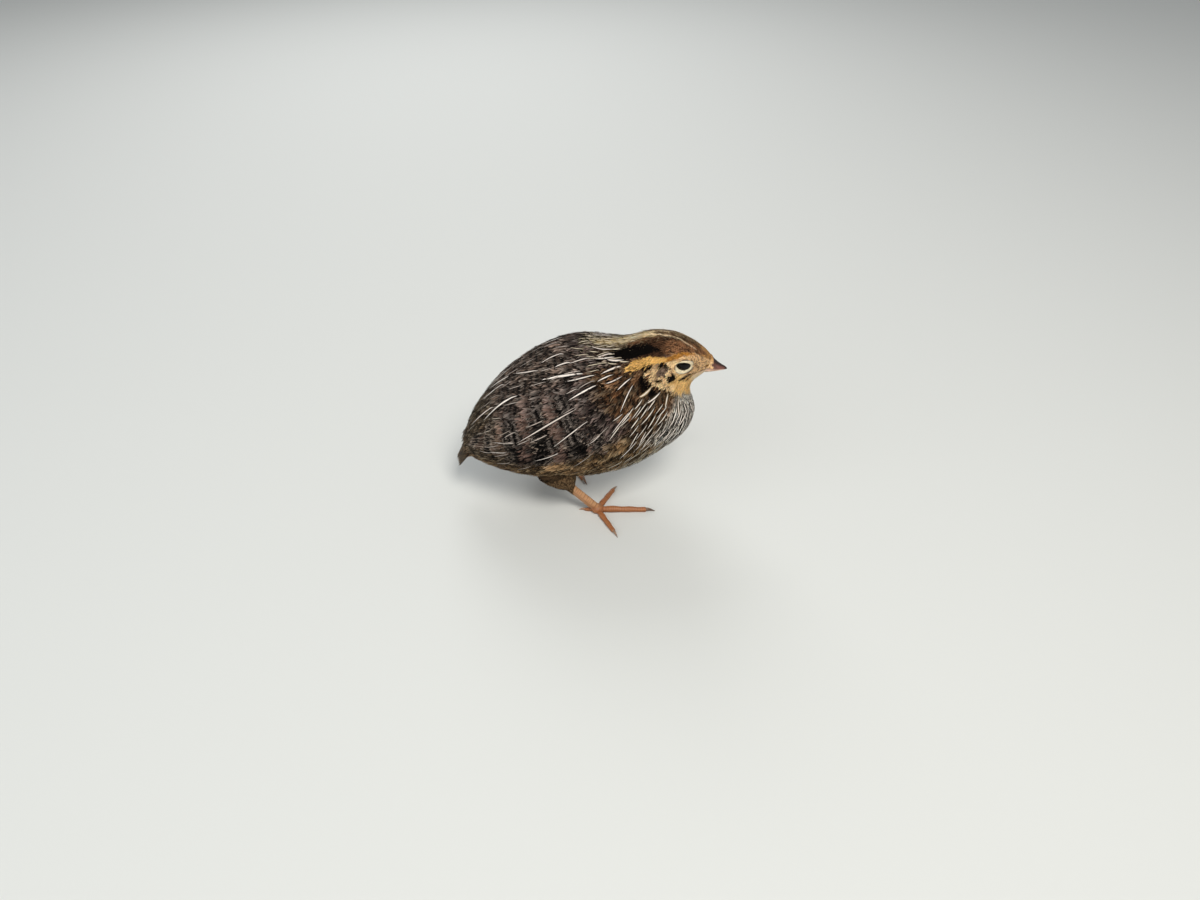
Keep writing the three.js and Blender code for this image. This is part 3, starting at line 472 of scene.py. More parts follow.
# Marks along paths: kind, places as section and degrees, and half widths in mm
strokes = [
    ("crown", [(1.1, 26), (2.0, 36), (2.8, 41), (3.4, 44)], [0.8, 1.7, 1.9, 1.9]),
    ("black", [(3.9, 43), (4.25, 36), (4.6, 31), (5.0, 29), (5.4, 28), (6.0, 29)],
     [0.5, 1.9, 3.0, 3.2, 2.7, 1.4]),
    ("orange", [(2.1, 53), (2.8, 54), (3.4, 59.5), (3.9, 62)], [0.4, 0.8, 1.1, 1.0]),
    ("yellow", [(3.9, 60), (4.25, 56.5), (4.65, 51.5), (5.1, 49), (5.6, 51)], [0.9, 1.25, 1.7, 2.0, 1.3]),
    ("ear", [(3.95, 77), (4.25, 77), (4.5, 77), (4.55, 82)], [1.1, 2.0, 2.1, 1.3]),
    ("black", [(5.35, 66), (5.55, 72), (5.65, 80), (5.6, 90)], [0.9, 1.8, 2.0, 1.4]),
    ("cheek", [(5.04, 64.8), (4.92, 70), (5.1, 76), (5.16, 82), (5.04, 90), (4.8, 98), (4.5, 105)],
     [0.6, 0.55, 0.8, 0.95, 1.0, 1.0, 0.9]),
    ("cheek", [(4.62, 84), (4.78, 90)], [0.6, 0.6]),
    ("spot", [(4.94, 59), (5.0, 60)], [1.15, 1.1]),
    ("spot", [(4.62, 61), (4.72, 60.5)], [0.75, 0.8]),
    ("spot", [(4.4, 67), (4.14, 66.5), (3.96, 73.5)], [0.6, 1.2, 0.7]),
    ("spot", [(3.96, 74.4), (3.64, 80)], [0.3, 0.25]),
    ("spot", [(3.62, 84), (3.46, 90)], [0.15, 0.2]),
    ("spot", [(4.42, 94), (4.16, 95)], [1.5, 1.35]),
    ("spot", [(4.98, 80), (4.86, 85)], [0.5, 0.6]),
    ("spot", [(2.34, 101), (2.92, 101.5), (3.38, 103.8), (3.8, 104.2)], [0.35, 0.5, 0.6, 0.5]),
    ("spot", [(2.5, 109), (3.0, 110), (3.4, 111)], [0.2, 0.3, 0.22]),
    ("spot", [(1.5, 83), (1.7, 87)], [0.15, 0.25]),
    ("nasal", [(0.1, 76), (0.7, 83)], [0.5, 0.4]),
    ("gape", [(0.3, 112), (1.2, 112), (2.3, 110)], [0.7, 0.6, 0.45]),
    ("spot", [(0.1, 103), (1.0, 104), (2.2, 104)], [0.1, 0.16, 0.12]),
    ("fuzz", [(3.9, 6), (4.3, 2), (4.8, 0), (5.3, 0), (6.2, 0)], [0.9, 1.6, 2.4, 2.5, 1.4]),
    ("crownRear", [(3.6, 17), (3.0, 14), (2.4, 10)], [1.0, 1.1, 0.7]),
    ("chin", [(1.9, 32), (2.4, 22), (2.8, 13), (3.3, 9), (3.8, 5.5), (4.3, 2), (4.6, 0)],
     [0.12, 0.16, 0.2, 0.24, 0.3, 0.5, 0.7]),
]


def nearPath(points, path, halves):
    # how far inside a path of given half widths each point lies, the left side as the right
    right = points * np.where(points[:, 1:2] > 0, [[1, -1, 1]], [[1, 1, 1]])
    stops = outline(np.array([p[0] for p in path], float), np.radians([p[1] for p in path]))
    best = np.full(len(points), -9.0)
    for a, b, wa, wb in zip(stops[:-1], stops[1:], halves[:-1], halves[1:]):
        f = np.clip(((right - a) @ (b - a)) / max((b - a) @ (b - a), 1e-9), 0, 1)
        gap = np.linalg.norm(right - a - f[:, None] * (b - a), axis=1)
        best = np.maximum(best, lerp(wa, wb, f) - gap)
    return best


def plumageAt(t, v):
    # the look of the coat at each place: areas laid over one another, then the marks
    points = outline(t, v)
    t = t + 0.12 * np.sin(9 * v + 5 * t) * smooth(t, 5, 7)
    degrees = degreesDown(v)
    result = np.tile(kinds["mantle"], (len(t), 1))
    for kind, t0, t1, d0, d1, softT, softD in areas:
        mask = (smooth(t, t0 - softT / 2, t0 + softT / 2) * smooth(-t, -t1 - softT / 2, -t1 + softT / 2)
                * smooth(degrees, d0 - softD / 2, d0 + softD / 2)
                * smooth(-degrees, -d1 - softD / 2, -d1 + softD / 2))
        result = lerp(result, kinds[kind], mask[:, None])
    for kind, path, halves in strokes:
        result = lerp(result, kinds[kind], smooth(nearPath(points, path, halves), -0.35, 0.25)[:, None])
    return result


# The net of contour feathers, and the blots, whose length and width in mm go with the section.
# The folded wing's bands have a spacing, a place and a slant in mm for each degree down from
# the level that they are counted at.
cells = {"perSection": 1.6, "around": 30, "rows": 26}
blots = {
    "long": [0.5, 0.5, 0.6, 0.7, 0.9, 2.2, 3.0, 3.0, 2.86, 2.86, 2.86, 2.73, 2.6, 2.08, 1.82],
    "wide": [0.25, 0.25, 0.27, 0.3, 0.38, 0.8, 1.3, 1.5, 1.56, 1.56, 1.43, 1.3, 1.17, 1.04, 0.78],
    "band": 12.3, "bandAt": 41.6, "bandSlant": 0.16, "bandLevel": 60,
}
cellTone = draw.normal(0, 1, (4, cells["rows"] + 2, cells["around"]))


def cellAt(t, v):
    # The coat's contour feathers as a staggered net of cells: the draws of each place's cell,
    # and the place within it, u from the quill to the tip and w from edge to edge
    turn = (v % (2 * pi)) / (2 * pi) * cells["around"]
    column = np.floor(turn).astype(int) % cells["around"]
    w = turn - np.floor(turn) - 0.5
    u = t * cells["perSection"] + 0.5 * (column % 2) + 0.2 * cellTone[3, 0, column] + 1.1 * w * w
    row = np.clip(np.floor(u).astype(int), 0, cells["rows"])
    return cellTone[:3, row, column], u - np.floor(u), w


def ripple(x, y):
    # an uneven field from -1 to 1 whose blots are about 3 across: warped waves multiplied
    along = np.sin(1.1 * x + 1.9 * np.sin(0.8 * y + 0.6 * x))
    return along * np.sin(1.3 * y + 1.6 * np.sin(0.7 * x - 0.3 * y))


def feathered(looks, length, phase, tone=0.16, marks=0.35):
    # one feather's look from the coat's there: bars as a count over its length, the phase
    # that they start at, and a tone of its own for all its colours and for the marks
    n = len(looks)
    out = np.column_stack([looks, phase])
    out[:, lookAt["colours"]] *= np.exp(draw.normal(0, tone, (n, 1)))
    out[:, lookAt["mark"]] *= np.exp(draw.normal(0, marks, (n, 1)))
    out[:, lookAt["colours"]] = np.clip(out[:, lookAt["colours"]], 0, brightest)
    out[:, lookAt["shaft"]] *= draw.uniform(0.5, 1.3, n)
    out[:, lookAt["bars"]] = length / out[:, lookAt["bars"]]
    out[:, lookAt["barred"]] *= draw.uniform(0.7, 1.1, n)
    out[:, lookAt["blots"]] *= draw.uniform(0.6, 1.1, n)
    return out


def bandPlace(wingS, degrees):
    # turns of the wing's broad bands, which slant back towards the belly
    return (wingS - blots["bandAt"] - blots["bandSlant"] * (degrees - blots["bandLevel"])) / blots["band"]


def strandLooks(s, v, length):
    # The look of strands that together draw contour feathers. A strand takes the ground's,
    # the marks' or the pale colour by blots drawn out along the lie and by its cell's own
    # share; cells are paler round their rims and stand up towards their tips. On the folded
    # wing black bands with fine pale bars change with mottled ones.
    reach = s + 0.8 * length
    t = sectionFrom(reach, v)
    degrees = degreesDown(v)
    looks = plumageAt(t, v)
    (tone, marks, start), u, w = cellAt(t, v)
    trunk = smooth(t, 4.6, 6.4)
    x = reach / through(blots["long"], t)
    y = girth(t, v) * ((v + pi) % (2 * pi) - pi) / through(blots["wide"], t)
    field = ripple(x, y)
    field = lerp(field, 0.65 * field + 0.6 * ripple(2.6 * x + 5, 2.3 * y), trunk)
    wingS, wingQ = flankPlace(t, v)
    wingZone = (smooth(wingS, 16, 26) * smooth(-wingS, -72, -64) * smooth(-degrees, -100, -92)
                * smooth(wingHalf(wingS) - np.abs(wingQ), -1, 2))
    band = np.cos(2 * pi * bandPlace(wingS, degrees) + 0.4 * start)
    chance = lerp(field + 0.35 * trunk * marks, 1.05 * band + 0.4 * field - 0.1, wingZone)
    chance += draw.normal(0, lerp(0.25, 0.16, trunk)) - lerp(0.12, 0.42, trunk)
    share = looks[:, lookAt["blots"]] * smooth(chance, lerp(-0.3, -0.15, trunk), lerp(0.5, 0.35, trunk))
    phase = s / looks[:, lookAt["bars"]] + trunk * (0.9 * w * w + 0.15 * start)
    out = feathered(looks, length, phase, 0.12, 0.14)
    out[:, lookAt["mark"]] *= np.exp(0.3 * trunk * tone)[:, None]
    ground = lerp(out[:, lookAt["ground"]], out[:, lookAt["mark"]], share[:, None])
    light = np.maximum(np.abs(w) > 0.4, u > 0.88) * trunk * draw.uniform(0, 1, len(s))
    light = np.clip((light + smooth(chance, 0.8, 1.4)) * looks[:, lookAt["edge"]], 0, 1)
    out[:, lookAt["ground"]] = lerp(ground, out[:, lookAt["pale"]], light[:, None])
    out[:, lookAt["edge"]] *= 1 - 0.75 * trunk
    out[:, lookAt["rim"]] *= (1 - share) * (start > -0.5) * (np.abs(w) < 0.36)
    out[:, lookAt["colours"]] = np.clip(out[:, lookAt["colours"]], 0, brightest)
    return out, trunk * (1 - 3 * w * w) * u ** 2


def patchAt(t, v):
    # the place of a root on the unwrap of the skin: round it across, from bill to tail up
    return np.stack([0.01 + 0.98 * (v % (2 * pi)) / (2 * pi),
                     0.02 + 0.86 * np.clip(t / lastSection, 0, 1)], -1)


# Materials. Patterns have real sizes in mm: the breaks in the bars, the slow change of shade
# over the coat, tufts of down, the grain of horn, drawn coarser than the real 0.2 mm so that
# it shows, and the blotches of the leg.
grain = {"breaks": 0.909, "shade": 6.25, "down": 0.714, "horn": 1.111, "leg": 2.857}


def add(tree, kind, inputs=(), out=0, **settings):
    # one shader node with its settings, and its inputs as values or links; gives its output
    node = tree.nodes.new(f"ShaderNode{kind}")
    for key, value in settings.items():
        setattr(node, key, value)
    for key, value in inputs.items() if isinstance(inputs, dict) else enumerate(inputs):
        if isinstance(value, bpy.types.NodeSocket):
            tree.links.new(value, node.inputs[key])
        else:
            node.inputs[key].default_value = value
    return node.outputs if out is None else node.outputs[out]


def material(name, **values):
    # a material with one Principled BSDF, whose uniform values are set on its sockets
    made = bpy.data.materials.new(name)
    made.use_nodes = True
    shader = made.node_tree.nodes["Principled BSDF"]
    for key, value in values.items():
        shader.inputs[key].default_value = value
    return made, made.node_tree, shader


def colour(code):
    # an sRGB hex colour as a shader socket takes it
    return (*linear(code), 1.0)


def vaneFinish(name, rough, gloss, barb, root):
    # Feather vane: matt barbs side by side, which keep a faint sheen on the head and wing.
    # Bars, the pale shaft and edges are drawn along each feather's own map; barb is the
    # spacing in mm of the barbs, drawn coarser than the real 0.1 mm so that they show, and
    # root is how much light is left at the downy root.
    made, tree, shader = material(name, **{"Roughness": rough, "Specular IOR Level": 0.04,
                                           "Sheen Weight": gloss, "Sheen Roughness": 0.5})
    node = partial(add, tree)
    ground, mark, pale = [node("Attribute", out="Color", attribute_name=key)
                          for key in ("ground", "mark", "pale")]
    lines, trim, bands = [node("Attribute", out="Vector", attribute_name=key)
                          for key in ("lines", "trim", "bands")]
    streak, count, barred = node("SeparateXYZ", [lines], None)
    edge, _, duty = node("SeparateXYZ", [trim], None)
    rim, mottle, phase = node("SeparateXYZ", [bands], None)
    wide, along, _ = node("SeparateXYZ", [node("UVMap", uv_map="feather")], None)
    across = node("Math", [wide, 2.0, -1.0], operation="MULTIPLY_ADD")
    across = node("Math", [across], operation="ABSOLUTE")
    place = node("TexCoord", out="Object")
    breaks = node("TexNoise", {"Vector": place, "Scale": 1000 / grain["breaks"], "Detail": 3.0})
    shade = node("TexNoise", {"Vector": place, "Scale": 1000 / grain["shade"], "Detail": 2.0})
    # bars: a wave along the shaft that lags towards the edges and is broken by the noise
    run = node("Math", [across, across], operation="MULTIPLY")
    run = node("Math", [run, 0.12, along], operation="MULTIPLY_ADD")
    run = node("Math", [run, count, phase], operation="MULTIPLY_ADD")
    wave = node("Math", [run], operation="FRACT")
    wave = node("Math", [wave, 2.0, -1.0], operation="MULTIPLY_ADD")
    wave = node("Math", [wave], operation="ABSOLUTE")
    offset = node("Math", [breaks, 0.5], operation="SUBTRACT")
    wave = node("Math", [offset, mottle, wave], operation="MULTIPLY_ADD")
    above = node("Math", [wave, duty], operation="SUBTRACT")
    bar = node("MapRange", {"Value": above, "From Min": -0.2, "From Max": 0.24},
               interpolation_type="SMOOTHSTEP")
    bar = node("Math", [bar, barred], operation="MULTIPLY")
    base = node("Mix", {0: bar, 6: ground, 7: mark}, 2, data_type="RGBA")
    # the bars' pale rims
    near = node("Math", [above], operation="ABSOLUTE")
    lit = node("MapRange", {"Value": near, "From Min": 0.03, "From Max": 0.2, "To Min": 1.0, "To Max": 0.0},
               interpolation_type="SMOOTHSTEP")
    lit = node("Math", [lit, rim], operation="MULTIPLY")
    base = node("Mix", {0: lit, 6: base, 7: pale}, 2, data_type="RGBA")
    # a pale fringe round the sides and the tip
    sides = node("MapRange", {"Value": across, "From Min": 0.7, "From Max": 1.0},
                 interpolation_type="SMOOTHSTEP")
    end = node("MapRange", {"Value": along, "From Min": 0.88, "From Max": 1.0},
               interpolation_type="SMOOTHSTEP")
    fringe = node("Math", [sides, end], operation="MAXIMUM")
    fringe = node("Math", [fringe, edge], operation="MULTIPLY", use_clamp=True)
    base = node("Mix", {0: fringe, 6: base, 7: pale}, 2, data_type="RGBA")
    # a pale shaft, as wide as (4 a (1.02 - a))^0.6
    lens = node("Math", [1.02, along], operation="SUBTRACT")
    lens = node("Math", [along, lens], operation="MULTIPLY")
    lens = node("Math", [lens, 4.0], operation="MULTIPLY")
    lens = node("Math", [lens, 0.6], operation="POWER")
    width = node("Math", [streak, lens], operation="MULTIPLY")
    inside = node("Math", [width, across], operation="SUBTRACT")
    soft = node("Math", [width, 0.4, 0.04], operation="MULTIPLY_ADD")
    line = node("Math", [inside, soft], operation="DIVIDE")
    line = node("Math", [line, 0.5], operation="ADD", use_clamp=True)
    shown = node("MapRange", {"Value": streak, "From Min": 0.01, "From Max": 0.03},
                 interpolation_type="SMOOTHSTEP")
    line = node("Math", [line, shown], operation="MULTIPLY")
    base = node("Mix", {0: line, 6: base, 7: pale}, 2, data_type="RGBA")
    # barbs slant from the shaft towards the tip
    slant = node("Math", [across, -0.3, along], operation="MULTIPLY_ADD")
    slant = node("Math", [slant, 10.0 / barb], operation="MULTIPLY")
    row = node("Math", [wide, 3.0], operation="MULTIPLY")
    own = node("Math", [phase, 7.0], operation="MULTIPLY")
    comb = node("CombineXYZ", [slant, row, own])
    barbs = node("TexNoise", {"Vector": comb, "Scale": 1.0, "Detail": 2.0})
    tone = node("Math", [shade, 0.5, 0.8], operation="MULTIPLY_ADD")
    dark = node("Math", [barbs, 0.5], operation="SUBTRACT")
    tone = node("Math", [dark, 0.9, tone], operation="MULTIPLY_ADD")
    # the downy root is in the dark
    free = node("MapRange", {"Value": along, "From Min": 0.4, "From Max": 0.9},
                interpolation_type="SMOOTHSTEP")
    free = node("Math", [free, 1.05 - root, root], operation="MULTIPLY_ADD")
    tone = node("Math", [tone, free], operation="MULTIPLY")
    grey = node("CombineColor", [tone, tone, tone])
    base = node("Mix", {0: 1.0, 6: base, 7: grey}, 2, data_type="RGBA", blend_type="MULTIPLY")
    tree.links.new(base, shader.inputs["Base Color"])
    bump = node("Bump", {"Height": barbs, "Strength": 0.35, "Distance": 0.0002})
    tree.links.new(bump, shader.inputs["Normal"])
    return made


def skinFinish():
    # Skin and down under the feathers: dull and soft, in the coat's own colours
    made, tree, shader = material("skinUnderDown", **{"Roughness": 0.9, "Specular IOR Level": 0.2})
    node = partial(add, tree)
    ground = node("Attribute", out="Color", attribute_name="ground")
    place = node("TexCoord", out="Object")
    down = node("TexNoise", {"Vector": place, "Scale": 1000 / grain["down"], "Detail": 4.0})
    dark = node("Mix", {0: 1.0, 6: ground, 7: down}, 2, data_type="RGBA", blend_type="MULTIPLY")
    tree.links.new(dark, shader.inputs["Base Color"])
    bump = node("Bump", {"Height": down, "Strength": 0.5, "Distance": 0.0003})
    tree.links.new(bump, shader.inputs["Normal"])
    return made


def hornFinish(name, rough):
    # Horn of the bill and claws: smooth and waxy, with a fine grain, in its pieces' colours
    made, tree, shader = material(name, **{"Roughness": rough, "IOR": 1.54,
                                           "Coat Weight": 0.12, "Coat Roughness": 0.3})
    node = partial(add, tree)
    place = node("TexCoord", out="Object")
    own = node("Attribute", out="Color", attribute_name="ground")
    streaks = node("TexNoise", {"Vector": place, "Scale": 1000 / grain["horn"], "Detail": 4.0})
    shade = node("MapRange", {"Value": streaks, "From Min": 0.3, "From Max": 0.7,
                              "To Min": 0.62, "To Max": 1.35})
    grey = node("CombineColor", [shade, shade, shade])
    toned = node("Mix", {0: 1.0, 6: own, 7: grey}, 2, data_type="RGBA", blend_type="MULTIPLY")
    tree.links.new(toned, shader.inputs["Base Color"])
    bump = node("Bump", {"Height": streaks, "Strength": 0.3, "Distance": 0.0002})
    tree.links.new(bump, shader.inputs["Normal"])
    return made


def legFinish():
    # Leg skin: horny scutes over warm flesh, satin, paler on the raised faces and on the
    # shank; its attribute holds how raised a place is and how near the toes
    made, tree, shader = material("legScutes", **{
        "Roughness": 0.48, "Subsurface Weight": 0.15,
        "Subsurface Radius": (0.0012, 0.0006, 0.0004), "Subsurface Scale": 1.0})
    node = partial(add, tree)
    place = node("TexCoord", out="Object")
    raised = node("Attribute", out="Vector", attribute_name="raised")
    share, toe, _ = node("SeparateXYZ", [raised], None)
    mottle = node("TexNoise", {"Vector": place, "Scale": 1000 / grain["leg"], "Detail": 4.0})
    low, shank, toeTone = [
        node("Mix", {0: mottle, 6: colour(dark), 7: colour(light)}, 2, data_type="RGBA")
        for dark, light in (("#74421f", "#8e5a2e"), ("#b07d4e", "#d4a67c"), ("#93572f", "#b97a4c"))]
    high = node("Mix", {0: toe, 6: shank, 7: toeTone}, 2, data_type="RGBA")
    blend = node("Mix", {0: share, 6: low, 7: high}, 2, data_type="RGBA")
    tree.links.new(blend, shader.inputs["Base Color"])
    bump = node("Bump", {"Height": mottle, "Strength": 0.25, "Distance": 0.0002})
    tree.links.new(bump, shader.inputs["Normal"])
    return made


def eyeFinish():
    # A wet eye: black pupil in a very dark brown iris under a clear, glossy cornea
    made, tree, shader = material("wetEye", **{"Roughness": 0.04, "IOR": 1.34, "Specular IOR Level": 0.35})
    node = partial(add, tree)
    middle = (eye["at"][0] * 0.001, 0, eye["at"][2] * 0.001)
    offset = node("VectorMath", [node("TexCoord", out="Object"), middle], operation="SUBTRACT")
    flat = node("VectorMath", [offset, (1, 0, 1)], operation="MULTIPLY")
    radius = node("VectorMath", [flat], "Value", operation="LENGTH")
    iris = node("MapRange", {"Value": radius, "From Min": 0.0017, "From Max": 0.0020})
    blend = node("Mix", {0: iris, 6: colour("#020202"), 7: colour("#0c0604")}, 2, data_type="RGBA")
    tree.links.new(blend, shader.inputs["Base Color"])
    return made


finishes = {
    "head": vaneFinish("headFeather", 0.75, 0.03, 0.5, 0.8),
    "body": vaneFinish("bodyFeather", 0.72, 0.0, 0.35, 0.3),
    "streak": vaneFinish("shaftStreak", 0.7, 0.0, 0.35, 0.85),
    "wing": vaneFinish("wingFeather", 0.6, 0.02, 0.25, 0.6),
    "skin": skinFinish(),
    "horn": hornFinish("billHorn", 0.42),
    "claw": hornFinish("clawHorn", 0.4),
    "leg": legFinish(),
    "eye": eyeFinish(),
}
print("materials made")


# The skin under the coat
def makeSkin():
    # the plumage's outline sunk by the coat's depth, with a hollow for each eye, and ovals
    # for the thighs
    rows, columns = 190, 128
    t = np.linspace(0, lastSection, rows)[:, None]
    v = np.linspace(0, 2 * pi, columns, endpoint=False)[None, :]
    t, v = np.broadcast_arrays(t, v)
    points = onBody(t, v, -through(body["coat"], t))
    near = np.hypot(points[..., 0] - eye["at"][0], points[..., 2] - eye["at"][2])
    depth, full, none = eye["hollow"]
    points = points - outward(t, v) * (depth * smooth(-near, -none, -full))[..., None]
    t, v = t.ravel(), v.ravel()
    looks = plumageAt(t, v)
    tint = lerp(looks[:, lookAt["ground"]], looks[:, lookAt["mark"]], 0.4)
    shapes, tints = [tube(points)], [tint, tint[:1], tint[-1:]]
    flats = [patchAt(t, v), patchAt(np.array([0, lastSection]), np.full(2, pi))]
    for side in sideNames:
        p, f = tube(thighRings(side, -0.7, 20, 24))
        shapes.append((p, f))
        tints.append(np.tile(kinds["vent"][lookAt["ground"]], (len(p), 1)))
        ahead = (p[:, 0] - p[:, 0].mean()) / 20
        flats.append(np.stack([0.5 + 0.25 * side + 0.2 * ahead, 0.94 + p[:, 2] / 900], -1))
    points, faces = joined(shapes)
    # corners of faces that cross the back's line take their place beyond the map's edge
    flat = np.concatenate(flats)[faces]
    wide = (flat[..., 0].max(1) - flat[..., 0].min(1) > 0.5) & (flat[..., 1].max(1) < 0.89)
    flat[..., 0] += np.where(wide[:, None] & (flat[..., 0] < 0.5), 0.98, 0)
    meshFrom("skin", points, faces, finishes["skin"],
             ("head", "neck", "torso", "thigh_right", "thigh_left"),
             {"OFBake": flat.reshape(-1, 2)}, {"ground": opaque(np.concatenate(tints))})


# Leg, in mm: where the feet stand, where the hock is from the ball of the foot, the half
# widths of shank and ball, and the thigh's root from the hock and its half widths
leg = {
    "stance": 18.3, "ahead": {-1: 5.0, 1: -10.0}, "hockBack": 14.5, "hockUp": 15.5,
    "ballHeight": 1.8, "shank": (2.2, 1.75), "ball": (3.0, 2.9, 2.3), "scutes": 14, "scuteLength": 1.15,
    "thighRoot": (-5.0, 10.0), "thighAcross": (7.6, 3.9), "thighUpright": (10.0, 4.6), "overhang": 2.2,
    "clawRoot": "#a37f63", "clawTip": "#5e483a",
}
toes = [  # name, angle outwards, length with the claw, claw, radius
    ("inner", -61, 20.2, 3.6, 1.5), ("middle", 0, 28.0, 4.2, 1.7),
    ("outer", 62, 20.4, 3.6, 1.5), ("hind", 186, 9.0, 2.6, 1.15),
]


def footAt(side):
    # the middle of the ball of a foot
    return np.array([leg["ahead"][side], side * leg["stance"], leg["ballHeight"]])


def hockAt(side):
    # behind and above the foot, and a little nearer the middle
    return footAt(side) + np.array([-leg["hockBack"], -0.4 * side, leg["hockUp"]])


def thighFrame(side):
    # the thigh's root inside the flank, the hock, and the way the shank goes on from it
    top = hockAt(side)
    along = unit(footAt(side) - top)
    root = top + np.array([leg["thighRoot"][0], 0, leg["thighRoot"][1]])
    return root, top, along


def onThigh(side, f, a, height):
    # ovals along a line from inside the flank to the hock: f along, a around
    root, top, along = thighFrame(side)
    f, a, height = np.broadcast_arrays(f, a, height)
    close = np.sqrt(1 - 0.75 * np.clip(f, 0, 1) ** 4)
    centre = root + (top - root) * f[..., None] + along * (leg["overhang"] * f ** 2)[..., None]
    way = unit(top - root)
    sideways = unit(np.cross([0, 0, 1], way))
    up = np.cross(way, sideways)
    wide = (lerp(*leg["thighAcross"], f) * close + height)[..., None]
    tall = (lerp(*leg["thighUpright"], f) * close + height)[..., None]
    return centre + sideways * wide * np.cos(a)[..., None] + up * tall * np.sin(a)[..., None]


def thighRings(side, height, rows, columns):
    # rings round the thigh from its root to the hock
    f = np.linspace(0, 1, rows)[:, None]
    a = np.linspace(0, 2 * pi, columns, endpoint=False)[None, :]
    return onThigh(side, f, a, np.full((rows, columns), height))


# Where the feathers of the coat root: a lattice of the plastic number, spread by area with
# the spacing that the table gives at each section, tighter on the face
coat = {
    "spacing": [0.27, 0.3, 0.33, 0.35, 0.4, 0.53, 0.68, 0.77, 0.8, 0.81, 0.81, 0.81, 0.8, 0.72, 0.64],
    "length": [1.0, 1.4, 1.8, 2.1, 2.6, 3.8, 5.0, 6.0, 6.6, 7.0, 7.0, 7.0, 6.6, 5.8, 4.6],
    "width": [0.28, 0.32, 0.35, 0.38, 0.41, 0.5, 0.6, 0.7, 0.75, 0.75, 0.75, 0.75, 0.72, 0.66, 0.6],
}


def coatRoots(spacing, first, last):
    # An even scatter over the coat between two sections, with a spacing for each section:
    # u2 picks the row and u1 the place along it, both by the area there over spacing^2
    t = np.linspace(first, last, 480)
    v = np.linspace(0, 2 * pi, 361)
    tt, vv = np.meshgrid((t[1:] + t[:-1]) / 2, (v[1:] + v[:-1]) / 2, indexing="ij")
    step = 1e-3
    area = np.linalg.norm(np.cross((outline(tt + step, vv) - outline(tt - step, vv)) / (2 * step),
                                   (outline(tt, vv + step) - outline(tt, vv - step)) / (2 * step)), axis=-1)
    weight = area * (t[1] - t[0]) * (v[1] - v[0]) / through(spacing, tt) ** 2
    u1, u2 = scatter(int(weight.sum()))
    rowSum = np.concatenate([[0], np.cumsum(weight.sum(1))]) / weight.sum()
    row = np.interp(u2, rowSum, np.arange(len(t)))
    share = np.concatenate([np.zeros((len(t) - 1, 1)), np.cumsum(weight, axis=1)], 1)
    share /= share[:, -1:]
    i = np.minimum(row.astype(int), len(t) - 2)
    flat = (share + np.arange(len(t) - 1)[:, None]).ravel()
    place = np.interp(i + u1, flat, np.arange(flat.size)) - i * len(v)
    return np.interp(row, np.arange(len(t)), t), np.interp(place, np.arange(len(v)), v)


def girth(t, v):
    # mm along the ring for each radian
    return np.linalg.norm(outline(t, v + 0.01) - outline(t, v - 0.01), axis=-1) / 0.02


def roundEye(t, v):
    # the angle by which feathers part in front of the eye and meet behind it, as a stream
    # does round a stone
    p = outline(t, v)
    ahead, above = eye["parting"]
    x = (p[..., 0] - eye["at"][0]) / ahead
    z = (p[..., 2] - eye["at"][2]) / above
    r = np.maximum(x * x + z * z, 1)
    up = np.arctan2(2 * x * z / r ** 2 * above, (1 - (x * x - z * z) / r ** 2) * ahead)
    return -up * np.where(v % (2 * pi) < pi, 1, -1) * (t < 7)


# How far feathers hang down from the lines of the coat at each number of degrees from the
# back, in radians, and where they hang more: section, degrees, spread in both, radians
fallLines = {
    "degrees": [0, 20, 40, 62, 85, 110, 150, 180], "turn": [0, -0.2, -0.22, 0, 0.3, 0.3, 0.1, 0],
    "more": [(6.1, 72, 0.7, 17, 0.35), (4.7, 135, 0.5, 18, 0.45)],
}


def fall(t, v):
    # the angle by which feathers hang down, most behind the cheek and at the throat's sides
    degrees = degreesDown(v)
    turn = np.interp(degrees, fallLines["degrees"], fallLines["turn"])
    turn = turn * smooth(t, 5.6, 7.2) * smooth(-t, -13, -11)
    for section, middle, spreadT, spreadV, radians in fallLines["more"]:
        turn += radians * bell(t, section, spreadT) * bell(degrees, middle, spreadV)
    return turn * np.where(v % (2 * pi) < pi, 1, -1)


def clearOfEye(s, v, length, margin):
    # true where a feather keeps off the ring round the eye
    clear = np.ones(len(s), bool)
    for share in (0, 0.5, 0.95):
        p = onCoat(s + share * length, v, np.zeros(len(s)))
        reach = np.hypot((p[:, 0] - eye["at"][0]) / (eye["opening"][0] + margin),
                         (p[:, 2] - eye["at"][2]) / (eye["opening"][1] + margin))
        clear &= (reach > 1) | (p[:, 2] < 68)
    return clear


def coatPlace(s, v, radius):
    # the place function of feathers that root at s and v
    sOne, vOne, rOne = blocks(s, v, radius)
    return lambda along, side, height: onCoat(sOne + along, vOne + side / rOne, height)


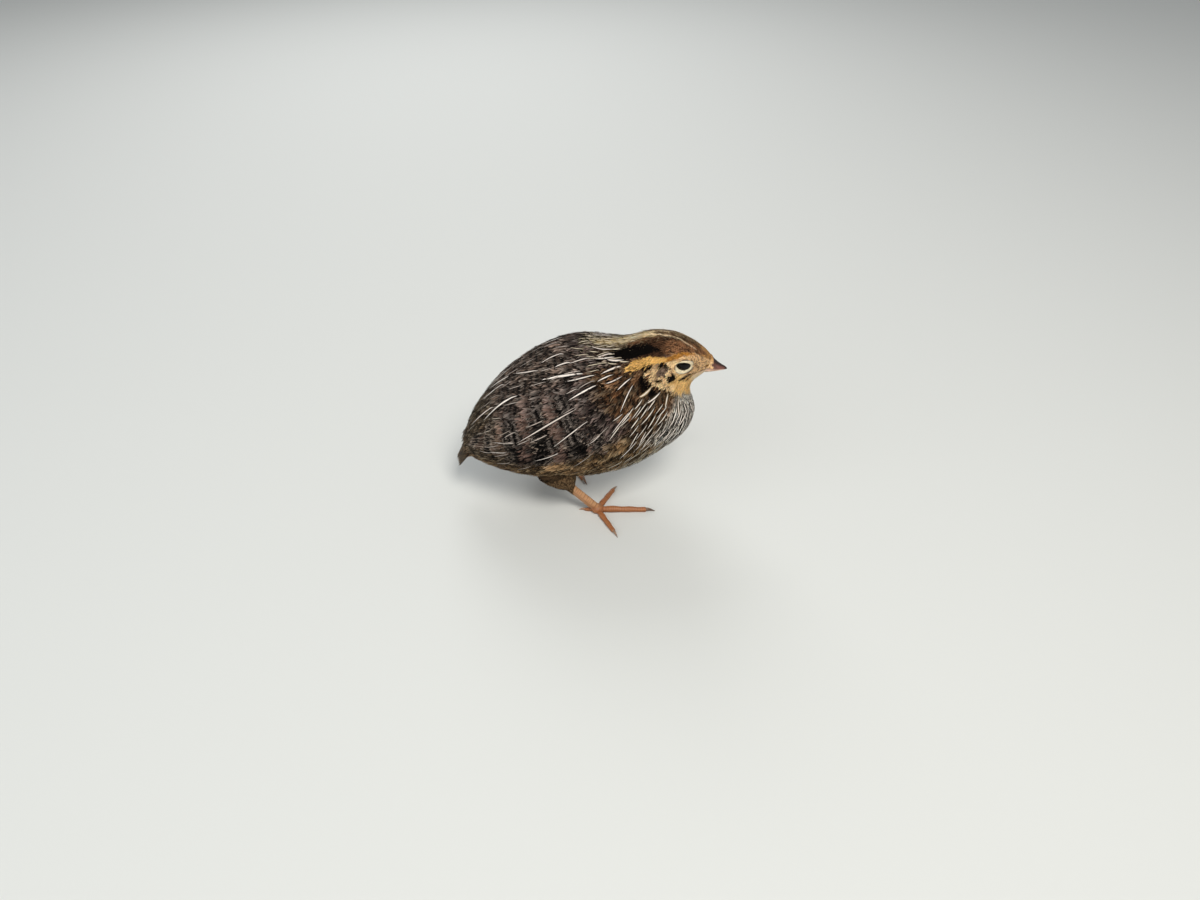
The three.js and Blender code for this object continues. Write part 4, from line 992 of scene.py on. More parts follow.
def makeCoat():
    # narrow tapered tufts of barbs over the whole bird, finest on the face
    t, v = coatRoots(coat["spacing"], 0.02, lastSection - 0.1)
    n = len(t)
    s, radius, degrees = backFrom(t, v), girth(t, v), degreesDown(v)
    size = draw.uniform(0.8, 1.2, n)
    length, width = through(coat["length"], t) * size, through(coat["width"], t) * size
    depth = through(body["coat"], t)
    feathers = {
        "length": length, "width": width, "quill": -lerp(0.6, 0.9, smooth(t, 4, 6)) * depth,
        "tip": (0.02 + 0.32 * draw.uniform(0, 1, n) ** 2) * depth, "step": 0.2 * depth,
        "curl": 0.16 * draw.uniform(-1, 1, n) * depth, "camber": 0.2, "roll": draw.normal(0, 0.1, n),
        "turn": draw.normal(0, 0.1, n) + roundEye(t, v) + fall(t, v),
        "bend": draw.normal(0, 0.16, n) / length, "ragged": 0.5, "patch": patchAt(t, v),
    }
    looks, lift = strandLooks(s, v, length)
    feathers["tip"] = feathers["tip"] + 0.3 * lift * depth
    wingS, wingQ = flankPlace(t, v)
    onWing = (wingS > 52) & (wingS < 74) & (np.abs(wingQ) < 0.8 * wingHalf(wingS))
    clear = clearOfEye(s, v, length, 1.0) & ~onWing
    right = v % (2 * pi) < pi
    pieces = [
        ("crownFeathers", (t < 4.4) & (degrees < 50), "head_plumage"),
        ("faceFeathers_right", (t < 4.4) & (degrees >= 50) & right, "head_plumage"),
        ("faceFeathers_left", (t < 4.4) & (degrees >= 50) & ~right, "head_plumage"),
        ("neckFeathers", (t >= 4.4) & (t < 6.6), "neck_plumage"),
        ("mantleFeathers", (t >= 6.6) & (t < 9.6) & (degrees < 90), "body_plumage"),
        ("breastFeathers", (t >= 6.6) & (t < 9.6) & (degrees >= 90), "body_plumage"),
        ("rumpFeathers", (t >= 9.6) & (degrees < 90), "body_plumage"),
        ("bellyFeathers", (t >= 9.6) & (degrees >= 90), "body_plumage"),
    ]
    for name, mask, slot in pieces:
        mask = mask & clear
        finish = finishes["head" if slot == "head_plumage" else "body"]
        featherPiece(name, coatPlace(s[mask], v[mask], radius[mask]), chosen(feathers, mask), looks[mask],
                     finish, form=strand)


# Pale shaft streaks on long narrow feathers that lie over the rest: sections from and to,
# degrees from and to, pitch back and gap across, length and width in mm, share grown, colour
streakTracts = [
    (4.75, 7.3, 118, 242, 4.6, 1.9, 8.5, 0.72, 0.95, "#f6ede2"),
    (5.4, 7.6, 80, 120, 5.4, 2.4, 9.0, 0.5, 0.9, "#efe4d6"),
    (5.0, 6.8, 10, 44, 4.6, 2.2, 6.4, 0.36, 0.8, "#e6d8bd"),
    (4.2, 6.6, -12, 12, 3.0, 1.3, 4.6, 0.34, 0.9, "#efe2c4"),
    (7.2, 8.9, 120, 240, 5.2, 2.6, 8.5, 0.46, 0.85, "#e8dbc3"),
    (7.0, 10.6, -40, 40, 8.0, 5.0, 9.0, 0.32, 0.6, "#d3c6bb"),
    (7.0, 11.6, 44, 74, 8.0, 4.4, 9.0, 0.32, 0.5, "#d6c9be"),
    (7.8, 12.2, 76, 104, 10.0, 6.4, 11.0, 0.3, 0.5, "#d2c5ba"),
    (7.6, 11.0, 112, 138, 8.0, 5.0, 8.0, 0.22, 0.7, "#bda98a"),
    (10.6, 13.2, -60, 60, 6.0, 4.6, 8.0, 0.3, 0.6, "#c9bcac"),
]
# The most striking ones: section and degrees of the root and of the tip, and the width
longStreaks = [
    (8.44, 61.6, 10.6, 57.6, 0.72), (8.3, 72.8, 9.7, 74, 0.55), (8.14, 84.4, 8.86, 92.8, 0.5),
    (7.28, 40.4, 8.9, 28.8, 0.9), (7.16, 52.4, 8.3, 52.8, 0.7), (10.18, 31.2, 11.9, 24, 1.0),
    (11.4, 28, 12.8, 21, 0.85), (9.8, 87.2, 10.62, 93.6, 0.42), (10.32, 7.6, 11.68, -1.2, 0.6),
    (10.7, 11.2, 12.08, 5.6, 0.55), (7.56, 26, 8.2, 21.2, 0.6), (6.7, 25.6, 7.56, 26.8, 0.45),
    (6.94, 44, 8.08, 42, 0.5), (5.46, 36.8, 6.3, 36.8, 0.75), (5.68, 43.6, 6.52, 41.2, 0.75),
    (6.3, 49.2, 6.98, 49.2, 0.6), (6.0, 54, 6.9, 58, 0.6), (5.6, 18, 6.5, 18, 0.5),
    (5.65, 24, 6.5, 24, 0.55), (5.7, 30, 6.5, 29, 0.6), (5.75, 60, 6.6, 63, 0.6),
    (7.7, 14, 8.7, 11, 0.5), (9.0, 20, 10.1, 14, 0.55), (5.84, 65.6, 7.08, 77.6, 0.5),
    (5.26, 93.2, 6.24, 90, 0.6), (5.04, 102.4, 5.8, 105.6, 0.6), (6.94, 83.6, 8.02, 88.4, 0.5),
    (7.78, 109.2, 8.62, 117.6, 0.5), (11.0, 70, 11.8, 70, 0.4), (11.5, 80, 12.2, 80, 0.4),
]


def streakRoots():
    # rows along the lie of the coat, each column starting a golden part of the pitch further,
    # then the long ones on both sides: places, length, width, turn and colour
    roots = []
    for t0, t1, d0, d1, pitch, gap, long, wide, share, code in streakTracts:
        middle = np.radians((d0 + d1) / 2 % 360)
        across = girth(np.array((t0 + t1) / 2), middle) * np.radians(d1 - d0)
        columns = max(int(across / gap), 1)
        for side in (1, -1) if d0 >= 0 and d1 <= 180 else (1,):
            for j in range(columns):
                angle = np.radians(d0 + (j + 0.5) / columns * (d1 - d0)) * side % (2 * pi)
                begin, end = backFrom(np.array([t0, t1]), np.full(2, angle))
                s = np.arange(begin + pitch * (j * 0.618 % 1), end, pitch)
                s = s[draw.uniform(0, 1, len(s)) < share]
                n = len(s)
                s = s + draw.uniform(-0.15, 0.15, n) * pitch
                around = girth(np.full(n, (t0 + t1) / 2), np.full(n, angle))
                v = angle + draw.uniform(-0.25, 0.25, n) * gap / around
                turn = fall(sectionFrom(s, v), v) + draw.normal(0, 0.07, n)
                length = long * draw.uniform(0.7, 1.25, n)
                width = wide * draw.uniform(0.7, 1.25, n)
                roots.append(np.column_stack([s, v, length, width, turn, np.tile(linear(code), (n, 1))]))
    t0, d0, t1, d1, wide = np.array(longStreaks).T
    t0, t1 = lerp(t0, t1, -0.12), lerp(t0, t1, 1.1)
    for side in (1, -1):
        v0, v1 = np.radians(d0) * side, np.radians(d1) * side
        ahead = backFrom(t1, v1) - backFrom(t0, v0)
        over = (v1 - v0) * girth(t0, v0)
        width = wide * draw.uniform(0.9, 1.1, len(t0))
        white = np.tile(linear("#f4eae0"), (len(t0), 1))
        roots.append(np.column_stack([backFrom(t0, v0), v0 % (2 * pi), np.hypot(ahead, over), width,
                                      np.arctan2(over, ahead), white]))
    return np.concatenate(roots)


def makeStreaks():
    # dark vanes with a pale shaft that widens in the middle and thins to both ends
    roots = streakRoots()
    s, v, length, width, turn = roots[:, :5].T
    n = len(s)
    t = sectionFrom(s, v)
    depth = through(body["coat"], t)
    looks = feathered(plumageAt(t, v), length, np.zeros(n))
    looks[:, lookAt["pale"]] = lerp(roots[:, 5:8], linear("#b7a294"), draw.uniform(0, 0.4, (n, 1)))
    looks[:, lookAt["ground"]] *= 0.6
    looks[:, lookAt["shaft"]] = 0.42
    looks[:, lookAt["barsToBlots"]] = 0
    feathers = {
        "length": length, "width": width * 2.2, "quill": -0.35 * depth,
        "tip": 0.4 * depth + 0.1 + 0.2 * draw.uniform(0, 1, n), "step": 0.12,
        "curl": 0.15 * draw.uniform(-1, 1, n), "camber": 0.1, "roll": 0, "turn": turn,
        "bend": draw.normal(0, 0.12, n) / length, "ragged": 1.0, "patch": patchAt(t, v),
    }
    form = vane | {"hidden": 0.25, "round": 0.2, "tip": 0.06, "rough": 0.7}
    featherPiece("shaftStreaks", coatPlace(s, v, girth(t, v)), feathers, looks, finishes["streak"],
                 form=form)


# Free barbs: their spacing and length in mm at each section, and the pale down of the crown
# and nape, with its spacing and the sections that it grows between
barbs = {
    "spacing": [0.7, 0.7, 0.75, 0.8, 0.85, 1.0, 1.15, 1.25, 1.3, 1.3, 1.3, 1.3, 1.3, 1.2, 1.1],
    "length": [1.1, 1.3, 1.6, 1.9, 2.2, 3.0, 3.8, 4.4, 4.6, 4.6, 4.6, 4.6, 4.4, 4.0, 3.4],
}
down = {"spacing": [0.5] * 15, "sections": (0.6, 6.8), "colour": "#ecd9ab"}


def makeBarbs():
    # free barbs, which soften the coat
    t, v = coatRoots(barbs["spacing"], 0.3, lastSection - 0.05)
    n = len(t)
    s, degrees, depth = backFrom(t, v), degreesDown(v), through(body["coat"], t)
    length = through(barbs["length"], t) * draw.uniform(0.7, 1.3, n)
    looks = feathered(plumageAt(t, v), length, draw.uniform(0, 1, n), 0.25)
    pick = draw.uniform(0, 1, n)[:, None]
    own = np.where(pick < 0.45, looks[:, lookAt["ground"]],
                   np.where(pick < 0.9, looks[:, lookAt["mark"]], looks[:, lookAt["pale"]]))
    looks[:, lookAt["colours"]] = np.tile(own, (1, 3))
    looks[:, lookAt["drawn"]] = 0
    wisps = {
        "length": length, "thick": draw.uniform(0.7, 1.2, n) * lerp(0.75, 1.1, smooth(t, 3, 7)),
        "quill": -0.5 * depth, "tip": depth * (0.1 + 0.28 * draw.uniform(0, 1, n) ** 2),
        "turn": draw.normal(0, 0.25, n) + roundEye(t, v) + fall(t, v),
        "bend": draw.normal(0, 0.3, n) / length, "patch": patchAt(t, v),
    }
    clear = clearOfEye(s, v, length, 0.9)
    high = degrees < 90
    pieces = [
        ("headBarbs", t < 5.5, "head_plumage"),
        ("backBarbs", (t >= 5.5) & high, "body_plumage"),
        ("underBarbs", (t >= 5.5) & ~high, "body_plumage"),
    ]
    for name, mask, slot in pieces:
        mask = mask & clear
        place = coatPlace(s[mask], v[mask], girth(t[mask], v[mask]))
        wispPiece(name, place, chosen(wisps, mask), looks[mask], finishes["body"])


def makeDown():
    # pale down of the crown and nape, densest along the middle, which stands out
    t, v = coatRoots(down["spacing"], *down["sections"])
    keep = draw.uniform(0, 1, len(t)) < 0.9 * smooth(-degreesDown(v), -30, -4)
    t, v = t[keep], v[keep]
    n = len(t)
    length = draw.uniform(1.6, 3.6, n) * smooth(t, -1.0, 3.0)
    local = plumageAt(t, v)
    tint = local[:, lookAt["ground"]]
    local[:, lookAt["ground"]] = lerp(tint, linear(down["colour"]), draw.uniform(0, 1, (n, 1)))
    looks = feathered(local, length, np.zeros(n), 0.25)
    looks[:, lookAt["drawn"]] = 0
    wisps = {
        "length": length, "thick": draw.uniform(0.5, 0.85, n), "quill": -0.4,
        "tip": 0.15 + draw.uniform(0, 1.1, n) ** 1.5 * smooth(t, -1, 3), "turn": draw.normal(0, 0.3, n),
        "bend": draw.normal(0, 0.3, n) / length, "patch": patchAt(t, v),
    }
    place = coatPlace(backFrom(t, v), v, girth(t, v))
    wispPiece("crownDown", place, wisps, looks, finishes["body"])


# The folded wing, on a sheet over the flank: s back from the wrist, q down from its middle
wing = {
    "start": 6.75, "end": 13.75, "length": 78.0, "perRadian": 30.0,
    "mid": [92, 80, 70, 66, 63, 62], "half": [7, 14.5, 16.5, 15, 11, 4],
}
wingTiers = [  # root, count, length, width, spread, lift of the tip
    (0.5, 5, 10, 5.2, 0.8, 0.05), (4.5, 6, 10.5, 5.6, 0.86, 0.1), (9, 7, 11, 5.8, 0.9, 0.12),
    (14, 8, 12, 6.0, 0.92, 0.15), (19.5, 9, 13.5, 6.2, 0.94, 0.18), (26, 10, 17, 6.0, 0.92, 0.2),
    (35, 9, 25, 6.2, 0.9, 0.25), (39, 7, 24, 6.4, 0.82, 0.3), (50.5, 7, 27, 5.4, 0.8, 0.2),
]


def alongWing(key, s):
    # one of the wing's tables, whose values are evenly spaced over its length
    return through(wing[key], np.clip(s / wing["length"], 0, 1) * (len(wing[key]) - 1))


def wingMiddle(s):
    # its angle from the back
    return np.radians(alongWing("mid", s))


def wingHalf(s):
    # half its width in mm
    return alongWing("half", s)


def flankPlace(t, v):
    # the place on the wing's sheet of a place of the coat
    s = (t - wing["start"]) / (wing["end"] - wing["start"]) * wing["length"]
    turn = np.radians(degreesDown(v))
    return s, (turn - wingMiddle(s)) * wing["perRadian"]


def onFlank(s, q, height):
    # a point over the coat from its place on the wing's sheet
    t = wing["start"] + s / wing["length"] * (wing["end"] - wing["start"])
    s, q, height = np.broadcast_arrays(s, q, height)
    return onBody(np.clip(t, 0, lastSection + 0.3), wingMiddle(s) + q / wing["perRadian"], height)


def makeWing(side):
    # Tiers of vanes that overlap like tiles: each root and tip is spread over the same share
    # of the wing's half width there, and the middle ones of a tier reach furthest back
    tiers = []
    for start, count, long, wide, share, rise in wingTiers:
        place = np.linspace(-1, 1, count)
        begin = start + 0.6 * draw.uniform(-1, 1, count)
        reach = long * (1 + 0.04 * draw.uniform(-1, 1, count)) - 2.2 * place ** 2
        end = np.minimum(begin + reach, wing["length"])
        tiers.append(np.stack([begin, place * share * wingHalf(begin), place * share * wingHalf(end), reach,
                               np.full(count, wide), np.full(count, rise)], 1))
    begin, rootQ, tipQ, length, width, lift = np.concatenate(tiers).T
    n = len(begin)
    angle = wingMiddle(begin) + rootQ / wing["perRadian"]
    section = wing["start"] + begin / wing["length"] * (wing["end"] - wing["start"])
    feathers = {
        "length": length, "width": width * 1.15, "quill": -1.7, "tip": 0.1 + lift, "step": 0.45,
        "curl": 0, "camber": 0.05, "roll": 0.03 + draw.normal(0, 0.01, n),
        "turn": np.arctan2(tipQ - rootQ, length), "bend": 0, "ragged": 0.35,
        "patch": patchAt(section, angle),
    }
    phase = bandPlace(begin, np.degrees(angle)) + draw.uniform(-0.06, 0.06, n)
    looks = feathered(np.tile(kinds["flight"], (n, 1)), length, phase)
    sOne, qOne = blocks(begin, rootQ)

    def place(along, across, height):
        return onFlank(sOne + along, qOne + across, height)
    name = sideNames[side]
    featherPiece(f"wingFeathers_{name}", place, feathers, looks, finishes["wing"],
                 (f"wing_{name}",), flip=side > 0)


def makeTail():
    # a bowed fan of vanes, the middle ones on top: each lies to the side, turns out and sinks
    # with its number from the middle
    start = np.array([tail["root"][0], 0, tail["root"][1]])
    up = np.cross([0, 1, 0], tailward)
    full = np.hypot(tail["tip"][0] - tail["root"][0], tail["tip"][1] - tail["root"][1])
    out = np.arange(-tail["pairs"], tail["pairs"]) + 0.5
    n = len(out)
    feathers = {
        "length": full - 0.45 * np.abs(out) + 0.3 * draw.uniform(-1, 1, n), "width": 4.6,
        "quill": -0.2 * np.abs(out), "tip": -0.24 * np.abs(out), "step": 0, "curl": 0, "camber": 0.12,
        "roll": 0.05 * np.sign(out), "turn": 0.045 * out, "bend": 0, "ragged": 0.4,
        "patch": np.stack([0.5 + 0.01 * out, np.full(n, 0.885)], -1),
    }
    looks = feathered(np.tile(kinds["tail"], (n, 1)), feathers["length"], draw.uniform(0, 1, n))
    side = blocks(1.25 * out)[0]

    def place(along, across, height):
        bow = 0.8 * np.sin(pi * np.clip(along / full, 0, 1))
        return (start + along[..., None] * tailward - (side + across)[..., None] * np.array([0, 1, 0])
                + (height + bow)[..., None] * up)
    featherPiece("tailFeathers", place, feathers, looks, finishes["wing"], ("tail",))


def makeThighFeathers(side):
    # short strands down the thigh, rooted by an even scatter round it, whose tips close in
    # on the shank
    n = 1000
    f, a = scatter(n)
    f, a = 1.02 * f - 0.1, 2 * pi * a
    feathers = {
        "length": draw.uniform(4.0, 5.6, n), "width": draw.uniform(0.6, 0.95, n), "quill": -0.8,
        "tip": 0.1 + 0.4 * draw.uniform(0, 1, n), "step": 0.3, "curl": 0.1, "camber": 0.1,
        "roll": draw.normal(0, 0.04, n), "turn": draw.normal(0, 0.12, n), "bend": 0, "ragged": 0.7,
        "patch": np.stack([0.5 + side * 0.25 + 0.1 * (f - 0.5), 0.93 + 0.007 * a], -1),
    }
    looks = feathered(np.tile(kinds["vent"], (n, 1)), feathers["length"], draw.uniform(0, 1, n))
    looks[:, lookAt["edge"]] *= 0.3
    root, top, _ = thighFrame(side)
    span = np.linalg.norm(top - root)
    fOne, aOne = blocks(f, a)

    def place(along, across, height):
        reach = fOne + along / span
        return onThigh(side, reach, aOne - across / 5.5, height * smooth(-reach, -1.5, -0.6))
    featherPiece(f"thighFeathers_{sideNames[side]}", place, feathers, looks, finishes["body"],
                 form=strand)


# Bill: shares of its length and angles round it are plain numbers, and the rest is in mm. A
# nostril's flap and slot each have a height, a place and spread along, and those around.
bill = {
    "tip": (63.4, 71.1), "rootHalf": 3.0, "mouth": 71.9, "overhang": 1.1, "tipHalf": 0.35, "tipDepth": 0.3,
    "taper": 1.7, "pinch": 0.12, "gap": 0.22, "sunk": 0.2, "hollow": 1.5, "nail": 0.14, "nailPower": 14,
    "flap": (0.5, 0.24, 0.15, 0.62, 0.2), "slot": (-0.75, 0.29, 0.11, 0.36, 0.08), "lip": 0.1,
    "lowerShare": 0.94,
    "ridge": "#2d1b16", "side": "#7a4c40", "edge": "#dbb69c", "nailTone": "#1c110d", "under": "#eed8bd",
}


def onBill(which, f, a):
    # Half ovals from the mouth line, of the upper half if which is 1 and the lower if -1. The
    # ridge falls as (1 - f)^1.5 to a hooked tip, the under line is straight, the sides draw
    # in as 1 - f^1.7, and the root leans with the face.
    back, under = outline(np.array(0.0), np.array(0.0)), outline(np.array(0.0), np.array(pi))
    root = (back + under) / 2
    lean = (back[0] - under[0]) / (back[2] - under[2])
    tipX = bill["tip"][0] - (0 if which > 0 else bill["overhang"])
    g = np.clip(f, 0, 1)
    mouth = lerp(bill["mouth"], bill["tip"][1], g * g)
    if which > 0:
        depth = back[2] - bill["mouth"]
        keep = (1 - bill["nail"]) * (1 - g) ** bill["hollow"] + bill["nail"] * (1 - g ** bill["nailPower"])
    else:
        depth = bill["mouth"] - under[2]
        keep = 1 - g
    height = (depth - bill["gap"]) * keep + bill["tipDepth"]
    half = bill["rootHalf"] * (1 - g ** bill["taper"]) + bill["tipHalf"]
    half = half * (1 if which > 0 else bill["lowerShare"])
    half = half + bill["lip"] * bell(a * (pi - a), 0, 0.3) * (1 - g)
    rise = which * (bill["gap"] / 2 + height * np.sin(a))
    x = lerp(root[0], tipX, f) + (mouth + rise - root[2]) * lean * (1 - f)
    y = half * np.cos(a) * (1 - bill["pinch"] * np.sin(a))
    return np.stack(np.broadcast_arrays(x, y, mouth + rise), -1)


def nostrils(rings, f, a):
    # on each side a swollen flap over a slot: a bell-shaped swelling and a hollow below it
    for way, low in ((1, a), (-1, pi - a)):
        for height, ahead, spreadF, above, spreadA in (bill["flap"], bill["slot"]):
            lift = height * bell(f, ahead, spreadF) * bell(low, above, spreadA)
            rings = rings + (lift * way)[..., None] * np.array([0, 1, 0])
    return rings


def makeBill():
    # horn that is dark on the ridge and at the tip and flesh-pale along the mouth
    tones = {key: linear(bill[key]) for key in ("ridge", "side", "edge", "nailTone", "under")}
    rows, columns = 80, 56
    for which, name in ((1, "upper"), (-1, "lower")):
        f = np.linspace(-bill["sunk"], 1, rows)[:, None]
        a = np.linspace(0, pi, columns)[None, :]
        rings = onBill(which, f, a)
        if which > 0:
            rings = nostrils(rings, f, a)
        f, high = np.broadcast_arrays(f[..., None], np.sin(a)[..., None])
        if which > 0:
            tint = lerp(tones["edge"], tones["side"], smooth(high, 0.03, 0.3 - 0.15 * f))
            tint = lerp(tint, tones["ridge"], smooth(high, 0.5, 0.95))
            tint = lerp(tint, tones["nailTone"], smooth(f, 0.78, 0.95))
        else:
            tint = lerp(tones["under"], tones["edge"], smooth(f, 0.2, 0.8))
            tint = lerp(tint, tones["nailTone"], 0.7 * smooth(f, 0.8, 1.0))
        tint = tint.reshape(-1, 3)
        tint = np.concatenate([tint, tint[:1], tint[-1:]])
        points, faces = tube(rings)
        meshFrom(f"bill_{name}Horn", points, facingOut(points, faces), finishes["horn"],
                 (f"bill_{name}",), None, {"ground": opaque(tint)})


def makeBillFeathers():
    # short feathers that run forward from the face over the root of the bill, furthest along
    # the mouth
    n = 620
    a, f = scatter(n)
    a = 0.26 + 1.1 * a
    f = (0.4 - 0.22 * a) * f - 0.12
    length = draw.uniform(0.9, 1.5, n) * (0.6 + 0.4 * smooth(-f, -0.2, 0))
    tone = lerp(kinds["cream"], kinds["forehead"], smooth(a, 0.5, 1.2)[:, None])
    looks = feathered(tone, length, draw.uniform(0, 1, n), 0.14)
    dark = 0.7 * smooth(ripple(75 * f, 9 * a), 0.1, 0.7)[:, None]
    looks[:, lookAt["ground"]] = lerp(looks[:, lookAt["ground"]], looks[:, lookAt["mark"]], dark)
    feathers = {
        "length": length, "width": draw.uniform(0.2, 0.28, n), "quill": -0.15,
        "tip": draw.uniform(0.03, 0.22, n), "step": 0.05, "curl": draw.uniform(0, 0.12, n), "camber": 0.1,
        "roll": 0, "turn": draw.normal(0, 0.12, n) + 0.1, "bend": 0, "ragged": 0.5,
        "patch": patchAt(np.zeros(n), 0.9 + 0.5 * a),
    }
    long, perRadian = bill["tip"][0] - body["underX"][0], 2.2
    fOne, aOne = blocks(f, a)

    def place(along, across, height):
        angle = aOne + across / perRadian
        points = onBill(1, fOne + along / long, angle)
        points = points + height[..., None] * np.stack([0 * angle, np.cos(angle), np.sin(angle)], -1)
        return points * np.array([1, -1, 1])
    for side, name in sideNames.items():
        featherPiece(f"billFeathers_{name}", place, feathers, looks, finishes["head"],
                     form=strand, flip=side > 0)


# Eyes and the ring round them: its width and swelling in mm, how far it reaches ahead and
# behind, and above and below, as shares of that, and its feathers' rows: mm out, number
lids = {
    "width": 1.75, "crest": 0.42, "reachX": (1.0, 1.35), "reachZ": (0.55, 0.72),
    "margin": "#241810", "skin": "#f6ead0",
    "rows": [(0.0, 60), (0.18, 64), (0.36, 68), (0.54, 72), (0.72, 76), (0.9, 80)],
}


def globe(rows, columns, first):
    # A ball of radius 1 as rings: p is the angle from its pole, from the first ring to the
    # last, and a runs round it. Gives (sin p cos a, sin p sin a, cos p), p and a.
    p = np.linspace(first, pi - first, rows)[:, None]
    a = np.linspace(0, 2 * pi, columns, endpoint=False)[None, :]
    return np.stack([np.sin(p) * np.cos(a), np.sin(p) * np.sin(a), np.cos(p) + 0 * a], -1), p, a


def makeEye(side):
    # a ball with its poles to the sides, which swells to the cornea
    rings, p, _ = globe(33, 48, 0.06)
    rings = rings[..., [0, 2, 1]] * (eye["radius"] + eye["cornea"] * bell(p, 0, 0.55))[..., None]
    points, faces = tube((rings + eye["at"]) * np.array([1, side, 1]))
    name = sideNames[side]
    meshFrom(f"eyeball_{name}", points, facingOut(points, faces), finishes["eye"], (f"eye_{name}",))


def faceAt(x, z):
    # the section and angle of the right side's point over a place of the side view, by
    # Newton's steps
    t, v = np.full(x.shape, 3.5), np.full(x.shape, 1.15)
    for _ in range(12):
        here = outline(t, v)[..., [0, 2]]
        dt = (outline(t + 1e-3, v)[..., [0, 2]] - here) * 1e3
        dv = (outline(t, v + 1e-3)[..., [0, 2]] - here) * 1e3
        miss = np.stack([x, z], -1) - here
        cross = dt[..., 0] * dv[..., 1] - dt[..., 1] * dv[..., 0]
        t = t + np.clip((miss[..., 0] * dv[..., 1] - miss[..., 1] * dv[..., 0]) / cross, -0.5, 0.5)
        v = v + np.clip((dt[..., 0] * miss[..., 1] - dt[..., 1] * miss[..., 0]) / cross, -0.3, 0.3)
    return t, v


def onLid(turn, out, height):
    # The ring round the right eye: out runs from its margin, which lies on the ball, to the
    # face, and the ring swells between them
    turn, out, height = np.broadcast_arrays(turn, out, height)
    ahead, above = np.cos(turn), np.sin(turn)
    x = (eye["opening"][0] * (1 + 0.07 * ahead ** 6) + out * np.where(ahead > 0, *lids["reachX"])) * ahead
    z = (eye["opening"][1] + out * np.where(above > 0, *lids["reachZ"])) * above
    ball = eye["at"][1] + np.sqrt(np.maximum(eye["radius"] ** 2 - x ** 2 - z ** 2, 1))
    t, v = faceAt(x + eye["at"][0], z + eye["at"][2])
    skin = -onBody(t, v, -0.6 * through(body["coat"], t))[..., 1]
    y = lerp(ball + 0.08, skin, smooth(out, 0, lids["width"])) + lids["crest"] * bell(out, 0.55, 0.5) + height
    return np.stack([x + eye["at"][0], -y, z + eye["at"][2]], -1), patchAt(t, v)


def makeLids():
    # a smooth dark margin that turns pale, and short pale feathers round it in rows
    turn = np.linspace(0, 2 * pi, 96, endpoint=False)[None, :]
    out = np.linspace(-0.06, lids["width"], 16)[:, None]
    top, patch = onLid(turn, out, 0.0)
    under, _ = onLid(turn, out[::-1], -0.7)
    rings = np.concatenate([top, under])
    rows, columns = rings.shape[:2]
    # the faces of a tube, and a strip that closes it from its last ring to its first
    j = np.arange(columns)
    k = (j + 1) % columns
    last = (rows - 1) * columns
    faces = np.concatenate([gridFaces(rows, columns), np.stack([last + j, j, k], -1),
                            np.stack([last + j, k, last + k], -1)])
    shade = smooth(out, 0.04, 0.3)[..., None] * np.ones((1, columns, 1))
    tint = lerp(linear(lids["margin"]), linear(lids["skin"]), shade)
    tint = opaque(np.concatenate([tint, tint[::-1]]).reshape(-1, 3))
    flat = np.concatenate([patch, patch[::-1]]).reshape(-1, 2)
    points = rings.reshape(-1, 3)
    faces = facingOut(points, faces)
    starts, outs = [], []
    for begin, count in lids["rows"]:
        starts.append((np.arange(count) + draw.uniform(0.2, 0.8, count)) / count * 2 * pi)
        outs.append(begin + draw.uniform(-0.06, 0.06, count))
    starts, outs = np.concatenate(starts), np.concatenate(outs)
    n = len(starts)
    _, patches = onLid(starts, outs, 0.0)
    feathers = {
        "length": draw.uniform(0.5, 0.65, n), "width": draw.uniform(0.18, 0.26, n), "quill": -0.1,
        "tip": draw.uniform(0.04, 0.12, n), "step": 0.03, "curl": 0, "camber": 0.12, "roll": 0,
        "turn": 0.55 * np.sin(starts) + draw.normal(0, 0.12, n), "bend": 0, "ragged": 0.3,
        "patch": patches,
    }
    looks = feathered(np.tile(kinds["lid"], (n, 1)), feathers["length"], np.zeros(n), 0.1)
    turnOne, outOne = blocks(starts, outs)

    def place(along, across, height):
        return onLid(turnOne + across / (outOne + 2.6), outOne + along, height)[0]
    for side, name in sideNames.items():
        here, there = (points, faces) if side < 0 else mirrored(points, faces)
        meshFrom(f"lids_{name}", here, there, finishes["skin"], (), {"OFBake": flat},
                 {"ground": tint})
        featherPiece(f"eyeRing_{name}", place, feathers, looks, finishes["head"],
                     form=strand, flip=side > 0)


# Legs
def ovalsAlong(points, wide, tall, a):
    # ovals round a path: each point lies wide cos a to the side and tall sin a up, but never
    # below the ground
    along = unit(np.gradient(points, axis=0))
    side = unit(np.cross([0, 0, 1], along))
    up = np.cross(along, side)
    rings = (points[:, None, :] + side[:, None, :] * (wide * np.cos(a))[..., None]
             + up[:, None, :] * (tall * np.sin(a))[..., None])
    rings[..., 2] = np.maximum(rings[..., 2], 0)
    return rings


def groove(x, width):
    # a bell over every whole number
    return bell(0.5 - np.abs(x % 1 - 0.5), 0, width)


